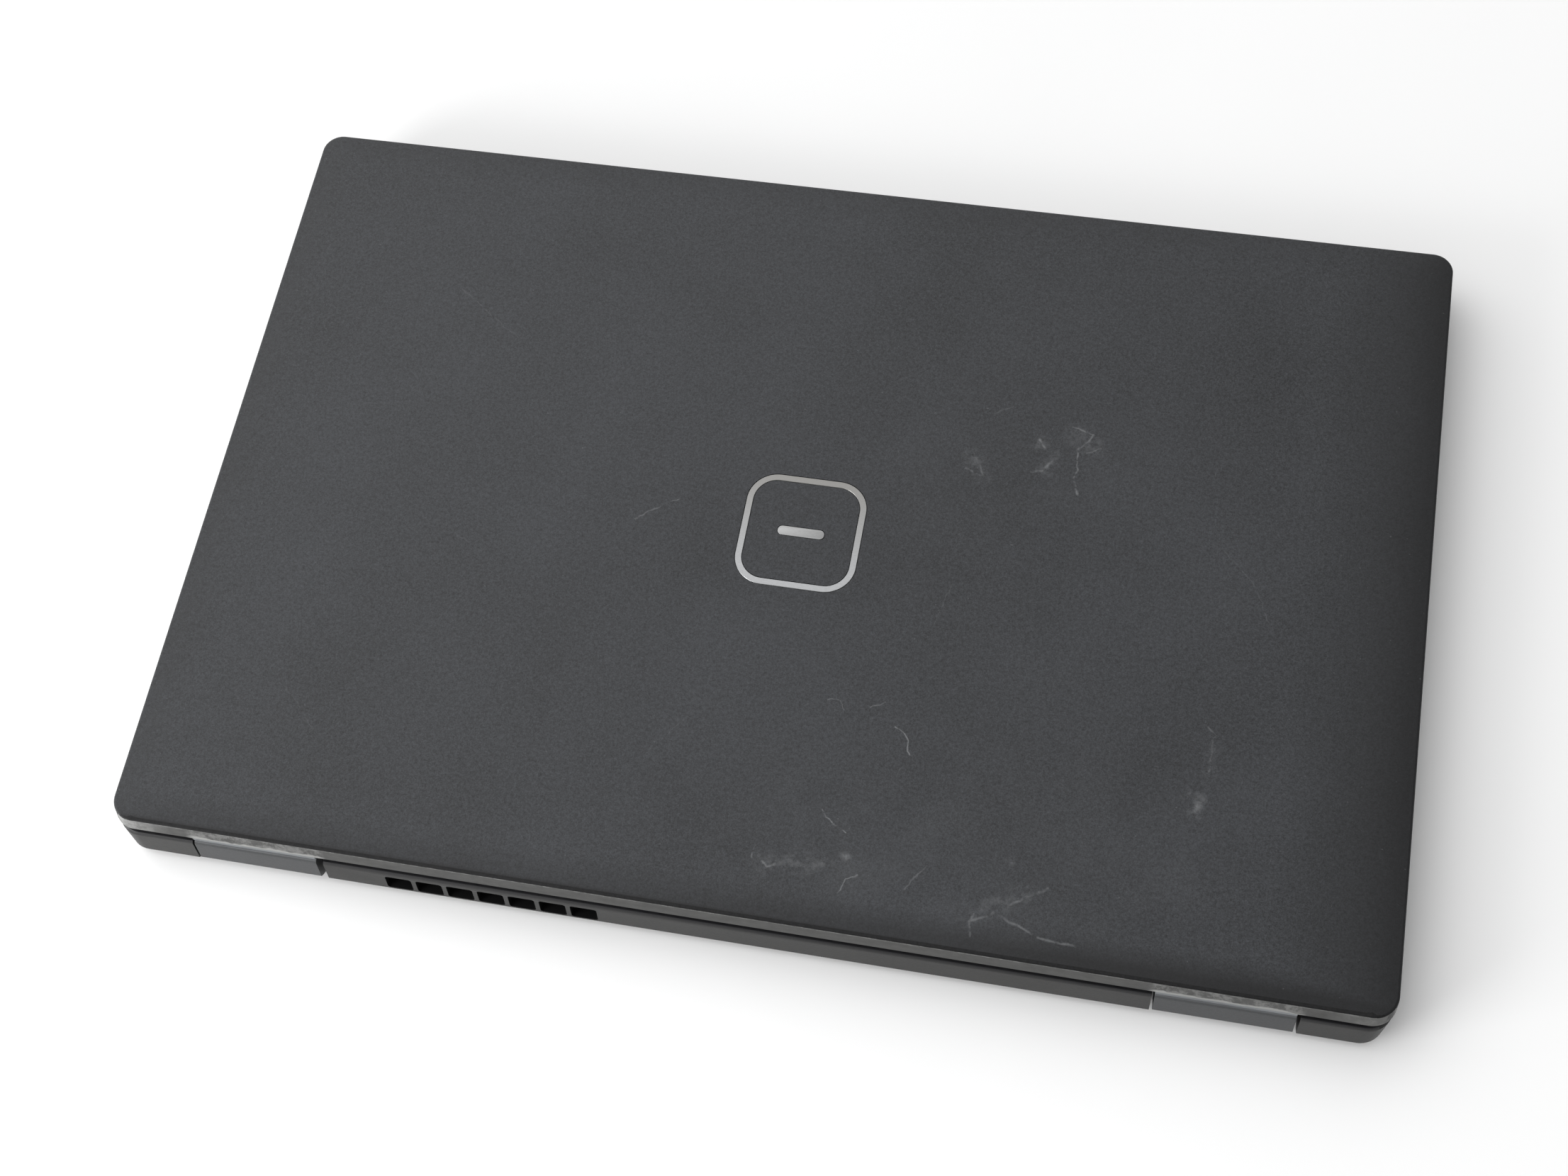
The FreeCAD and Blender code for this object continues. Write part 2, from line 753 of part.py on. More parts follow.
def keyboard(keys):
    """The keys by node, their rubber domes and the steel plate below."""
    caps = {}
    domes = []
    for index, (node, left, right, front, rear) in enumerate(keys):
        span_x = (f"{left} + key_gap / 2", f"{right} - key_gap / 2")
        span_y = (f"{front} + key_gap / 2", f"{rear} - key_gap / 2")
        cap = block(f"key_{index}", span_x, span_y, ("key_low_z", "key_top_z"))
        caps.setdefault(node, []).append(cap)
        domes.append(key_dome(index, f"({left} + {right}) / 2", f"({front} + {rear}) / 2"))
    for node, shapes in caps.items():
        keep(shapes[0] if len(shapes) == 1 else group(f"{node}_group", shapes), node)
    keep(group("dome_group", domes), "key_domes")
    span_x, _ = keyboard_span("plate_margin_x")
    _, span_y = keyboard_span("plate_margin_y")
    keep(block("plate_sheet", span_x, span_y, ("plate_z", "plate_z + plate_thickness")), "keyboard_plate")


def key_dome(index, middle_x, middle_y):
    """The rubber dome that lifts one key."""
    dome = doc.addObject("Part::Cone", f"dome_{index}")
    dome.Radius1 = DOME_RADII[0]
    dome.Radius2 = DOME_RADII[1]
    dome.setExpression("Height", bound("dome_height"))
    dome.setExpression("Placement.Base.x", bound(middle_x))
    dome.setExpression("Placement.Base.y", bound(middle_y))
    dome.setExpression("Placement.Base.z", bound("plate_z + plate_thickness"))
    return dome


def touch_and_power():
    """The touchpad, the bracket under it and the power button."""
    span_x = around("pad_centre_x", "pad_width")
    span_y = ("pad_front_y", "pad_rear_y")
    keep(plate("pad", span_x, span_y, ("pad_top_z - pad_thickness", "pad_top_z"), "2"), "touchpad")
    tray_top = "tray_z + tray_thickness"
    tray = block("pad_tray", around("pad_centre_x", "pad_width + 8"), span_y, ("tray_z", tray_top))
    rails = []
    for name, side in SIDES.items():
        rail_x = around(f"pad_centre_x + {side} * (pad_width + 5) / 2", "3")
        rails.append(block(f"pad_rail_{name}", rail_x, span_y, (tray_top, "deck_z - deck_skin")))
    keep(fuse("pad_bracket", tray, *rails), "touchpad_bracket")
    button_x = around("power_x", "power_width")
    button_y = around("power_y", "power_depth")
    cap = plate("power_cap", button_x, button_y, ("deck_z - 1.6", "deck_z + 0.1"), "2")
    keep(cap, "power_button")


# ------------------------------------------------------------------ inside the base


BOARD_TOP = "board_z + board_thickness"
CARD_Z = f"{BOARD_TOP} + card_lift"
# Each board as its spans along X and Y, and each card also with its number of chips.
MAIN_BOARD = (("-160", "34"), ("-18", "94"))
SMALL_BOARD = (("118", "162"), ("-14", "80"))
CPU_PACKAGE = (("-30", "12"), ("60", "84"))
CPU_DIE = (("-18", "0"), ("68", "78"))
CARDS = {
    "memory_module": (("-120", "-52.4"), ("28", "58"), 4),
    "solid_state_drive": (("-120", "-40"), ("-8", "14"), 3),
    "wireless_card": (("-20", "10"), ("-10", "12"), 1),
}
COIN_CELL = ("14", "34")
# Spans along X and Y of the copper over the processor, the pipe's three runs and the battery.
SPREADER = (("-34", "16"), ("56", "88"))
PIPE_ALONG = (("-24", "32"), ("70", "78"))
PIPE_LINK = (("24", "32"), ("70", "pipe_rear_y"))
PIPE_ACROSS = (("24", "101"), ("pipe_front_y", "pipe_rear_y"))
BATTERY = (("-105", "105"), ("-108", "-36"))
FOOT_ROWS = (("-106", "-97"), ("88", "97"))


def boards():
    """The main board, the small board on the right, and what stands on them."""
    keep(block("main_board", *MAIN_BOARD, ("board_z", BOARD_TOP)), "system_board")
    keep(block("small_board", *SMALL_BOARD, ("board_z", BOARD_TOP)), "io_board")
    package = block("cpu_package", *CPU_PACKAGE, (BOARD_TOP, f"{BOARD_TOP} + 0.5"))
    die = block("cpu_die", *CPU_DIE, (f"{BOARD_TOP} + 0.5", f"{BOARD_TOP} + 0.8"))
    keep(fuse("cpu", package, die), "processor")
    for name, (span_x, span_y, chips) in CARDS.items():
        keep(carrier(name, span_x, span_y, chips), name)
    keep(rod("cell", "8", (*COIN_CELL, BOARD_TOP), "1.8"), "coin_cell")


def carrier(name, span_x, span_y, chips):
    """A small card in its slot: circuit board, slot and a row of chips."""
    start, end = span_x
    front, rear = span_y
    card_top = f"{CARD_Z} + card_thickness"
    card = block(f"{name}_sheet", span_x, span_y, (CARD_Z, card_top))
    slot = block(f"{name}_slot", (start, f"{start} + 4"), span_y, (BOARD_TOP, CARD_Z))
    pitch = f"({end} - ({start}) - 6) / {chips}"
    row = []
    for index in range(chips):
        left = f"{start} + 5 + {index} * {pitch}"
        span = (left, f"{left} + 0.8 * {pitch}")
        depth = (f"{front} + 4", f"{rear} - 4")
        row.append(block(f"{name}_chip_{index}", span, depth, (card_top, f"{card_top} + chip_height")))
    return fuse(f"{name}_solid", card, slot, *row)


def cooling():
    """Fan, fan housing, fins and the heat pipe that carries the processor's heat to them."""
    fan_housing()
    fan_rotor()
    fins()
    keep(block("spreader", *SPREADER, ("spreader_low_z", "pipe_low_z")), "heat_spreader")
    pipe_z = ("pipe_low_z", "pipe_high_z")
    along = block("pipe_along", *PIPE_ALONG, pipe_z)
    link = block("pipe_link", *PIPE_LINK, pipe_z)
    across = block("pipe_across", *PIPE_ACROSS, pipe_z)
    keep(fuse("pipe", along, link, across), "heat_pipe")


def fan_housing():
    """A flat case with an eye above, small intakes below, an outlet and the rotor's spindle."""
    inner_z = ("fan_low_z + fan_wall", "fan_high_z - fan_wall")
    outer_x = around("fan_x", "2 * fan_radius + 6")
    outer_y = ("fan_y - fan_radius - 2.6", "fin_front_y - 0.2")
    case = block("fan_case", outer_x, outer_y, ("fan_low_z", "fan_high_z"))
    height = "fan_high_z - fan_low_z - 2 * fan_wall"
    chamber = rod("fan_chamber", "fan_radius + fan_room", ("fan_x", "fan_y", inner_z[0]), height)
    outlet_x = around("fan_x", "2 * (fan_radius + fan_room)")
    outlet = block("fan_outlet", outlet_x, ("fan_y", "fin_front_y"), inner_z)
    openings = [chamber, outlet, rod("fan_eye", "13", ("fan_x", "fan_y", "fan_high_z - 1"), "2")]
    for index in range(INTAKE_COUNT):
        turn = math.tau * index / INTAKE_COUNT
        offset_x = INTAKE_CIRCLE * math.cos(turn)
        offset_y = INTAKE_CIRCLE * math.sin(turn)
        place = (f"fan_x + {offset_x:.4f}", f"fan_y + {offset_y:.4f}", "fan_low_z - 1")
        openings.append(rod(f"fan_intake_{index}", "3.2", place, "2"))
    spindle = rod("fan_spindle", "spindle_radius", ("fan_x", "fan_y", "fan_low_z"), "3.4")
    keep(fuse("fan_shell", cut("fan_hollow", case, *openings), spindle), "fan_housing")


def fins():
    """A stack of fins between two plates, with a channel for the heat pipe."""
    span_x = ("vent_first_x", f"vent_first_x + {FIN_COUNT} * fin_pitch + fin_thickness")
    span_y = ("fin_front_y", "wall_inner_rear_y - 0.1")
    stack = block("fin_stack", span_x, span_y, ("fin_low_z", "fin_high_z"))
    gap_y = ("fin_front_y - 1", "wall_inner_rear_y + 1")
    gap_z = ("fin_low_z + fin_thickness", "fin_high_z - fin_thickness")
    gaps = []
    for index in range(FIN_COUNT):
        start = f"vent_first_x + {index} * fin_pitch + fin_thickness"
        gap_x = (start, f"{start} + fin_pitch - fin_thickness")
        gaps.append(block(f"fin_gap_{index}", gap_x, gap_y, gap_z))
    channel_y = ("pipe_front_y - 0.2", "pipe_rear_y + 0.2")
    channel_z = ("pipe_low_z - 0.05", "pipe_high_z + 0.05")
    channel = block("fin_channel", ("30", "101.2"), channel_y, channel_z)
    keep(cut("fin_cut", stack, channel, *gaps), "heat_sink_fins")


def fan_rotor():
    """A hub on the spindle with straight blades all round."""
    body = doc.addObject("PartDesign::Body", "rotor")
    hub_sketch = new_sketch(body, "hub_sketch", "XY_Plane", ROTOR_Z)
    for index, size in enumerate(("hub_radius", "spindle_radius + shaft_clearance")):
        hub_sketch.addGeometry(Part.Circle(Vector(), Vector(0, 0, 1), number(size)), False)
        hub_sketch.addConstraint(Sketcher.Constraint("Coincident", index, 3, -1, 1))
        held = hub_sketch.addConstraint(Sketcher.Constraint("Radius", index, number(size)))
        hub_sketch.setExpression(f"Constraints[{held}]", bound(size))
    hub = body.newObject("PartDesign::Pad", "hub")
    hub.Profile = hub_sketch
    hub.setExpression("Length", bound("blade_height"))
    blade_sketch = new_sketch(body, "blade_sketch", "XY_Plane", ROTOR_Z)
    inner, half = "hub_radius - 1", "0.3"
    corners = ((inner, f"-{half}"), ("fan_radius", f"-{half}"), ("fan_radius", half), (inner, half))
    polygon(blade_sketch, corners)
    blade = body.newObject("PartDesign::Pad", "blade")
    blade.Profile = blade_sketch
    blade.setExpression("Length", bound("blade_height"))
    pattern = body.newObject("PartDesign::PolarPattern", "blades")
    pattern.Originals = [blade]
    pattern.Axis = (blade_sketch, ["N_Axis"])
    pattern.Angle = 360
    pattern.Occurrences = BLADE_COUNT
    body.Tip = pattern
    body.setExpression("Placement.Base.x", bound("fan_x"))
    body.setExpression("Placement.Base.y", bound("fan_y"))
    keep(body, "fan_rotor")


def power_and_sound():
    """The battery and the two speakers."""
    battery_z = ("case_low_z", "battery_top_z")
    keep(plate("battery", *BATTERY, battery_z, "3"), "battery_pack")
    speakers = []
    for name, side in SIDES.items():
        span_x = around(f"{side} * speaker_x", "speaker_width")
        span_y = around("speaker_y", "speaker_width")
        case = plate(f"speaker_case_{name}", span_x, span_y, ("case_low_z", "speaker_top_z"), "4")
        centre = (f"{side} * speaker_x", "speaker_y")
        ring = rod(f"speaker_ring_{name}", "speaker_ring_radius", (*centre, "speaker_top_z"), "1.0")
        dish = rod(f"speaker_dish_{name}", "speaker_dish_radius", (*centre, "speaker_top_z - 0.4"), "2")
        speakers.append(cut(f"speaker_{name}", fuse(f"speaker_solid_{name}", case, ring), dish))
    keep(group("speaker_group", speakers), "speakers")


def fasteners_and_feet():
    """The cover's screws and the rubber feet."""
    screws = []
    low = "base_bottom_z + 0.1"
    for index, (x, y) in enumerate(screw_places()):
        head = rod(f"screw_head_{index}", "screw_head_radius", (x, y, low), f"floor_z - 0.7 - ({low})")
        shank = rod(f"screw_shank_{index}", "screw_radius", (x, y, low), "6")
        screws.append(fuse(f"screw_{index}", head, shank))
    keep(group("screw_group", screws), "base_cover_screws")
    feet = []
    for row, (front, rear) in enumerate(FOOT_ROWS):
        for name, side in SIDES.items():
            span_x = mirrored(side, "foot_inner_x", "foot_outer_x")
            heights = (ZERO, "base_bottom_z")
            feet.append(plate(f"foot_{row}_{name}", span_x, (front, rear), heights, "foot_corner"))
    keep(group("feet_group", feet), "rubber_feet")


# ------------------------------------------------------------------ lid


def lid_sections():
    """The lid's outlines: lower rim, rounded edge and the crown, which falls towards every edge."""
    half = "lid_width / 2"
    slope = "(lid_rear_y - lid_top_rear_y) / (lid_top_z - lid_chin_z)"
    low_rear = f"lid_rear_y + (lid_chin_z - lid_seam_z) * {slope}"
    crown_z = "lid_top_z - lid_crown"
    edge_rear = f"lid_rear_y - ({crown_z} - lid_edge_round - lid_chin_z) * {slope}"
    sections = [("lid_seam_z", half, "lid_front_y", low_rear)]
    for step in range(4):
        turn = math.radians(30 * step)
        inset = f"lid_edge_round * {1 - math.cos(turn):.5f}"
        rear = f"{edge_rear} - lid_rear_round * {1 - math.cos(turn):.5f}"
        height = f"{crown_z} - lid_edge_round * {1 - math.sin(turn):.5f}"
        sections.append((height, f"{half} - {inset}", f"lid_front_y + {inset}", rear))
    for share in CROWN_SHARES:
        inset = f"lid_edge_round + {share} * (lid_crown_reach - lid_edge_round)"
        rear_inset = f"lid_rear_round + {share} * (lid_rear_reach - lid_rear_round)"
        height = f"lid_top_z - lid_crown * {(1 - share) ** 3:.5f}"
        rear = f"{edge_rear} - ({rear_inset})"
        sections.append((height, f"{half} - ({inset})", f"lid_front_y + {inset}", rear))
    return sections


def lid_cover():
    """The lid's back shell, undercut along its rear edge and inlaid for the emblem."""
    form = lofted("lid_form", lid_sections(), "lid_corner")
    ceiling = "lid_top_z - lid_skin"
    inside_x = ("-lid_width / 2 + lid_skin", "lid_width / 2 - lid_skin")
    inside_y = ("lid_front_y + lid_skin", "lid_chin_front_y - 1.2")
    hollow = plate("lid_hollow", inside_x, inside_y, ("lid_seam_z - 1", ceiling), "lid_hollow_corner")
    chin_y = ("lid_chin_front_y - 2", "lid_rear_y - 2.4")
    chin_hollow = block("chin_hollow", ("-168", "168"), chin_y, ("lid_chin_z + 1.1", ceiling))
    under_y = ("lid_chin_front_y", "lid_rear_y + 5")
    undercut = block("undercut", ("-lid_width", "lid_width"), under_y, ("lid_seam_z - 1", "lid_chin_z"))
    slot_z = ("lid_chin_z - 1", "lid_top_z - 2")
    slots = [arm_slot(f"lid_{name}", side, slot_z) for name, side in SIDES.items()]
    slots.append(block("cable_slot", CABLE_SLOT_X, ("109", "115"), slot_z))
    inlay = emblem("inlay", "0.05", ("lid_top_z - emblem_depth - 0.02", "lid_top_z + 1"))
    keep(cut("lid_cut", form, hollow, chin_hollow, undercut, inlay, *slots), "lid_cover")
    keep(emblem("emblem", ZERO, ("lid_top_z - emblem_depth", "lid_top_z")), "lid_emblem")


def arm_slot(name, side, span_z):
    """Room for a hinge arm where it rises from the hinge cap into the lid."""
    span_x = mirrored(side, "arm_inner_x - 0.3", "arm_outer_x + 0.3")
    return block(f"{name}_arm_slot", span_x, ("slot_front_y", "slot_rear_y"), span_z)


def emblem(name, clearance, depth):
    """A plain rounded-square band with one short bar, let into the lid."""
    outer = around(ZERO, f"emblem_width + 2 * {clearance}")
    inner = around(ZERO, f"emblem_width - 2 * emblem_band - 2 * {clearance}")
    square = plate(f"{name}_outer", outer, outer, depth, "emblem_corner")
    window_z = ("lid_top_z - 3", "lid_top_z + 3")
    window = plate(f"{name}_inner", inner, inner, window_z, "emblem_corner - emblem_band")
    band = cut(f"{name}_band", square, window)
    long_side = around(ZERO, f"bar_length + 2 * {clearance}")
    short_side = around(ZERO, f"bar_width + 2 * {clearance}")
    bar = plate(f"{name}_bar", long_side, short_side, depth, "1.4")
    return group(f"{name}_pair", [band, bar])


# The middles of the pads on the bezel's rim.
BUMPER_PLACES = ((-174, -115), (174, -115), (-60, -116), (60, -116), (-90, 106), (90, 106))


def display():
    """The bezel with its pads, and the panel behind it."""
    half = "lid_width / 2 - 0.4"
    sheet_y = ("lid_front_y + 0.4", "lid_chin_front_y - 0.2")
    heights = ("lid_bottom_z", "lid_bottom_z + bezel_thickness")
    through = ("lid_bottom_z - 2", "lid_bottom_z + 2")
    sheet_form = plate("bezel_sheet", (f"-({half})", half), sheet_y, heights, "5.6")
    window_x = around(ZERO, "active_width")
    window = block("bezel_window", window_x, ("active_front_y", "active_rear_y"), through)
    eye = rod("bezel_eye", "eye_radius", (ZERO, "camera_y", through[0]), "4")
    slit = block("bezel_slit", ("slit_left_x", "slit_right_x"), around("camera_y", "slit_depth"), through)
    keep(cut("bezel_cut", sheet_form, window, eye, slit), "display_bezel")
    glass_z = ("panel_z", "panel_z + panel_thickness")
    glass = block("panel_glass", around(ZERO, "panel_width"), ("panel_front_y", "glass_rear_y"), glass_z)
    driver_x = ("driver_left_x", "driver_right_x")
    driver_z = ("panel_z + 0.4", "panel_z + 1.6")
    driver = block("panel_driver", driver_x, ("glass_rear_y", "driver_rear_y"), driver_z)
    keep(fuse("panel", glass, driver), "display_panel")
    low = "deck_z + 0.05"
    bumpers = [
        rod(f"bumper_{index}", "bumper_radius", (x, y, low), f"lid_bottom_z - ({low})")
        for index, (x, y) in enumerate(BUMPER_PLACES)
    ]
    keep(group("bumper_group", bumpers), "lid_bumpers")


def camera():
    """The camera above the display and the leaf that slides across its lens."""
    board_y = ("camera_y - 3.4", "camera_y + 3")
    module = block("camera_board", around(ZERO, "camera_width"), board_y, ("camera_low_z", "camera_high_z"))
    lens = rod("camera_lens", "lens_radius", (ZERO, "camera_y", "lens_low_z"), "1")
    keep(fuse("camera", module, lens), "camera_module")
    leaf_z = ("leaf_low_z", "leaf_high_z")
    leaf = block("shutter_leaf", ("leaf_left_x", "leaf_right_x"), around("camera_y", "leaf_depth"), leaf_z)
    knob_z = ("knob_low_z", "leaf_low_z + 0.05")
    knob = block("shutter_knob", ("knob_left_x", "knob_right_x"), around("camera_y", "1"), knob_z)
    keep(fuse("shutter", leaf, knob), "camera_shutter")


# ------------------------------------------------------------------ hinges


def hinge_cap(name, side):
    """The hollow cover of a hinge, flush with the base's rear wall, and its neck to the lid."""
    span = mirrored(side, f"{name}_cap_inner_x", f"{name}_cap_outer_x")
    inside = mirrored(side, f"{name}_cap_inner_x + cap_wall", f"{name}_cap_outer_x - cap_wall")
    slope = "(rear_wall_low_y - rear_wall_top_y) / (deck_z - deck_edge - keel_z)"
    low_rear = f"rear_wall_low_y + (keel_z - base_bottom_z) * {slope}"
    outer_points = [
        ("notch_front_y", "base_bottom_z"),
        (low_rear, "base_bottom_z"),
        ("rear_wall_top_y", "deck_z - deck_edge"),
        ("rear_wall_top_y - deck_edge", "deck_z"),
        ("notch_front_y", "deck_z"),
    ]
    inner_points = [
        ("notch_front_y", "base_bottom_z + cap_wall"),
        (f"{low_rear} - 1.6", "base_bottom_z + cap_wall"),
        ("rear_wall_top_y - 1.2", "deck_z - cap_wall"),
        ("notch_front_y", "deck_z - cap_wall"),
    ]
    def turned(title, radius, along):
        length = f"({along[1]}) - ({along[0]})"
        return rod(f"{name}_cap_{title}", radius, on_hinge(along[0]), length, "x")

    outer = profile(f"{name}_cap_section", outer_points, span)
    barrel = common(f"{name}_cap_barrel", outer, turned("round", "cap_radius", span))
    inner = profile(f"{name}_cap_core", inner_points, inside)
    hollow = common(f"{name}_cap_hollow", inner, turned("bore", "cap_radius - cap_wall", inside))
    neck = block(f"{name}_cap_neck", span, ("neck_front_y", "neck_rear_y"), ("deck_z - 1", "lid_chin_z"))
    shaft_span = mirrored(side, f"{name}_cap_outer_x - 3", f"{name}_cap_outer_x + 2")
    shaft_hole = turned("shaft_hole", "shaft_radius + 0.2", shaft_span)
    tools = [hollow, arm_slot(f"cap_{name}", side, ("hinge_z", "lid_top_z")), shaft_hole]
    if side < 0:
        cable_span = ("-left_cap_inner_x - 3", "-left_cap_inner_x + 2")
        tools.append(turned("cable_hole", "cable_radius + 0.2", cable_span))
        slot_y = ("slot_front_y", "slot_rear_y + 0.1")
        tools.append(block("cap_cable_slot", CABLE_SLOT_X, slot_y, ("hinge_z", "lid_top_z")))
    keep(cut(f"{name}_cap_cut", fuse(f"{name}_cap_solid", barrel, neck), *tools), f"hinge_cap_{name}")


def hinge_arm(name, side):
    """The lid's half of a hinge: shaft, upright and the leaf behind the display panel."""
    span = mirrored(side, "arm_inner_x", "arm_outer_x")
    shaft_start, _ = mirrored(side, "arm_inner_x", "bracket_outer_x + 0.6")
    knuckle_length = "arm_outer_x - arm_inner_x"
    knuckle = rod(f"{name}_arm_knuckle", "knuckle_radius", on_hinge(span[0]), knuckle_length, "x")
    shaft_length = "bracket_outer_x + 0.6 - arm_inner_x"
    shaft = rod(f"{name}_arm_shaft", "shaft_radius", on_hinge(shaft_start), shaft_length, "x")
    ceiling = "lid_top_z - lid_skin"
    upright = block(f"{name}_arm_upright", span, ("arm_front_y", "hinge_y"), ("hinge_z", ceiling))
    leaf_x = mirrored(side, "arm_inner_x - 6", "arm_outer_x + 6")
    leaf_z = (f"{ceiling} - leaf_thickness", ceiling)
    leaf = block(f"{name}_arm_leaf", leaf_x, ("leaf_front_y", "hinge_y"), leaf_z)
    keep(fuse(f"{name}_arm", knuckle, shaft, upright, leaf), f"hinge_arm_{name}")


def hinge_bracket(name, side):
    """The base's half of a hinge: a bored knuckle on a foot under the deck."""
    span = mirrored(side, "bracket_inner_x", "bracket_outer_x")
    length = "bracket_outer_x - bracket_inner_x"
    ceiling = "deck_z - deck_skin"
    knuckle = rod(f"{name}_bracket_knuckle", "knuckle_radius", on_hinge(span[0]), length, "x")
    web = block(f"{name}_bracket_web", span, ("hinge_y - 2.4", "hinge_y + 2.0"), ("hinge_z", ceiling))
    foot = block(f"{name}_bracket_foot", span, ("bracket_front_y", "hinge_y"), (f"{ceiling} - 1", ceiling))
    radius = "shaft_radius + shaft_clearance"
    bore = rod(f"{name}_bracket_bore", radius, on_hinge(f"({span[0]}) - 1"), f"{length} + 2", "x")
    solid = fuse(f"{name}_bracket_solid", knuckle, web, foot)
    keep(cut(f"{name}_bracket", solid, bore), f"hinge_bracket_{name}")


def tube(name, corners, bend):
    """A cable along straight runs joined by round bends of one radius."""
    points = [Vector(*corner) for corner in corners]
    edges = []
    start = points[0]
    for before, corner, after in zip(points, points[1:], points[2:]):
        inward = (before - corner).normalize()
        outward = (after - corner).normalize()
        half_turn = (math.pi - inward.getAngle(outward)) / 2
        setback = bend * math.tan(half_turn)
        first = corner + inward * setback
        last = corner + outward * setback
        bisector = (inward + outward).normalize()
        middle = corner + bisector * (bend / math.cos(half_turn) - bend)
        edges.append(Part.makeLine(start, first))
        edges.append(Part.Arc(first, middle, last).toShape())
        start = last
    edges.append(Part.makeLine(start, points[-1]))
    path = Part.Wire(edges)
    section = Part.Wire(Part.makeCircle(number("cable_radius"), points[0], points[1] - points[0]))
    feature = doc.addObject("Part::Feature", name)
    feature.Shape = path.makePipeShell([section], True, True)
    return feature


def display_cable():
    """The panel's cable, in two lengths that meet end to end on the hinge line."""
    hinge_y, hinge_z = number("hinge_y"), number("hinge_z")
    meet = -number("notch_inner_x") - 0.3
    base_route = [(-96, 88, 5.7), (-96, hinge_y, hinge_z), (meet, hinge_y, hinge_z)]
    keep(tube("cable_base", base_route, 5), "display_cable_base")
    turn_x, rise_y, run_z = -124, 113.6, 15.7
    lid_route = [
        (meet - 0.02, hinge_y, hinge_z),
        (turn_x, hinge_y, hinge_z),
        (turn_x, rise_y, run_z),
        (turn_x, 104.0, run_z),
    ]
    keep(tube("cable_lid", lid_route, 3), "display_cable_lid")


# ------------------------------------------------------------------ build and write


def build():
    keys = key_cells()
    base_cover()
    palmrest_frame(keys)
    keyboard(keys)
    touch_and_power()
    ports()
    boards()
    cooling()
    power_and_sound()
    fasteners_and_feet()
    lid_cover()
    display()
    camera()
    for name, side in SIDES.items():
        hinge_cap(name, side)
        hinge_arm(name, side)
        hinge_bracket(name, side)
    display_cable()


def write():
    """Check every object, then write each sub-part's shape to its own file."""
    doc.recompute()
    for obj in doc.Objects:
        if "Invalid" in obj.State or "Error" in obj.State:
            raise RuntimeError(f"{obj.Name} failed: {obj.State}")
    os.makedirs("parts", exist_ok=True)
    for obj in NODES:
        if obj.Shape.isNull() or not obj.Shape.isValid():
            raise RuntimeError(f"{obj.Label} has no valid shape")
        obj.Shape.exportStep(f"parts/{obj.Label}.step")
    print(len(NODES), "nodes")


dims = make_sheet()
build()
write()
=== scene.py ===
import json
import math

import bmesh
import bpy
from mathutils import Matrix, Vector


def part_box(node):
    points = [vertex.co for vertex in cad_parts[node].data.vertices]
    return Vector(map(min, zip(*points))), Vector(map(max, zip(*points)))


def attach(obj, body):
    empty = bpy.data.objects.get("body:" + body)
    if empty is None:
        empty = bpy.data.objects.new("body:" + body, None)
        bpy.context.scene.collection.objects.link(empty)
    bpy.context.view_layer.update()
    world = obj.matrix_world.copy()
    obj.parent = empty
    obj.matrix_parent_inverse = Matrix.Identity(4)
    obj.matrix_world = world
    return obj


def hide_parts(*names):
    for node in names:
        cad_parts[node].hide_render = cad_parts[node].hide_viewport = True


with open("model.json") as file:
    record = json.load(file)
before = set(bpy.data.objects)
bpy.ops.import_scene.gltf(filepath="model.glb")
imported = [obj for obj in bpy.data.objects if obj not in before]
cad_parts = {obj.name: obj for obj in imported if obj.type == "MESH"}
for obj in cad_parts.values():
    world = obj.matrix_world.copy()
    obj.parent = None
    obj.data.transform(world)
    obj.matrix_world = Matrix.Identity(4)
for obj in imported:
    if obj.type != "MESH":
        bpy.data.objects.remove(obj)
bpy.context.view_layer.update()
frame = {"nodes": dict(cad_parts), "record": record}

# The looks of a closed laptop, seen from behind and above. Lengths in the tables are in
# millimetres; everything is made in metres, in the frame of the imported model.
MM = 0.001
SCENE = bpy.context.scene
NODES = frame["nodes"]
BODY_OF = {node: body for body, nodes in frame["record"]["behaviour"]["bodies"].items() for node in nodes}
SLOT_OF = {part["node"]: part["material_slot"] for part in frame["record"]["subparts"]}
SIDES = {"right": 1, "left": -1}
RANGE_SOCKETS = ("From Min", "From Max", "To Min", "To Max")


# ------------------------------------------------------------------ camera, floor and light


CAMERA_PLACE = (-93.59, 257.11, 584.2)
CAMERA_FORWARD = (0.1437, -0.387, -0.9108)
CAMERA_RIGHT = (-0.9807, -0.1793, -0.0785)
LENS = 49.1
SENSOR_WIDTH = 36
SHIFT = (-0.0134, -0.0018)
NEAREST = 10


def camera():
    """The view from behind the hinge side, from above and a little from the user's left."""
    forward = Vector(CAMERA_FORWARD).normalized()
    right = Vector(CAMERA_RIGHT)
    right = (right - forward * right.dot(forward)).normalized()
    up = right.cross(forward)
    data = bpy.data.cameras.new("camera")
    data.lens = LENS
    data.sensor_width = SENSOR_WIDTH
    data.shift_x, data.shift_y = SHIFT
    data.clip_start = NEAREST * MM
    view = bpy.data.objects.new("camera", data)
    turn = Matrix((right, up, -forward)).transposed().to_4x4()
    view.matrix_world = Matrix.Translation(Vector(CAMERA_PLACE) * MM) @ turn
    SCENE.collection.objects.link(view)
    SCENE.camera = view


def softbox(name, place, target, size, power):
    """A square area light that points at a target."""
    data = bpy.data.lights.new(name, "AREA")
    data.shape = "SQUARE"
    data.size = size
    data.energy = power
    lamp = bpy.data.objects.new(name, data)
    lamp.location = place
    lamp.rotation_euler = (Vector(target) - Vector(place)).to_track_quat("-Z", "Y").to_euler()
    SCENE.collection.objects.link(lamp)


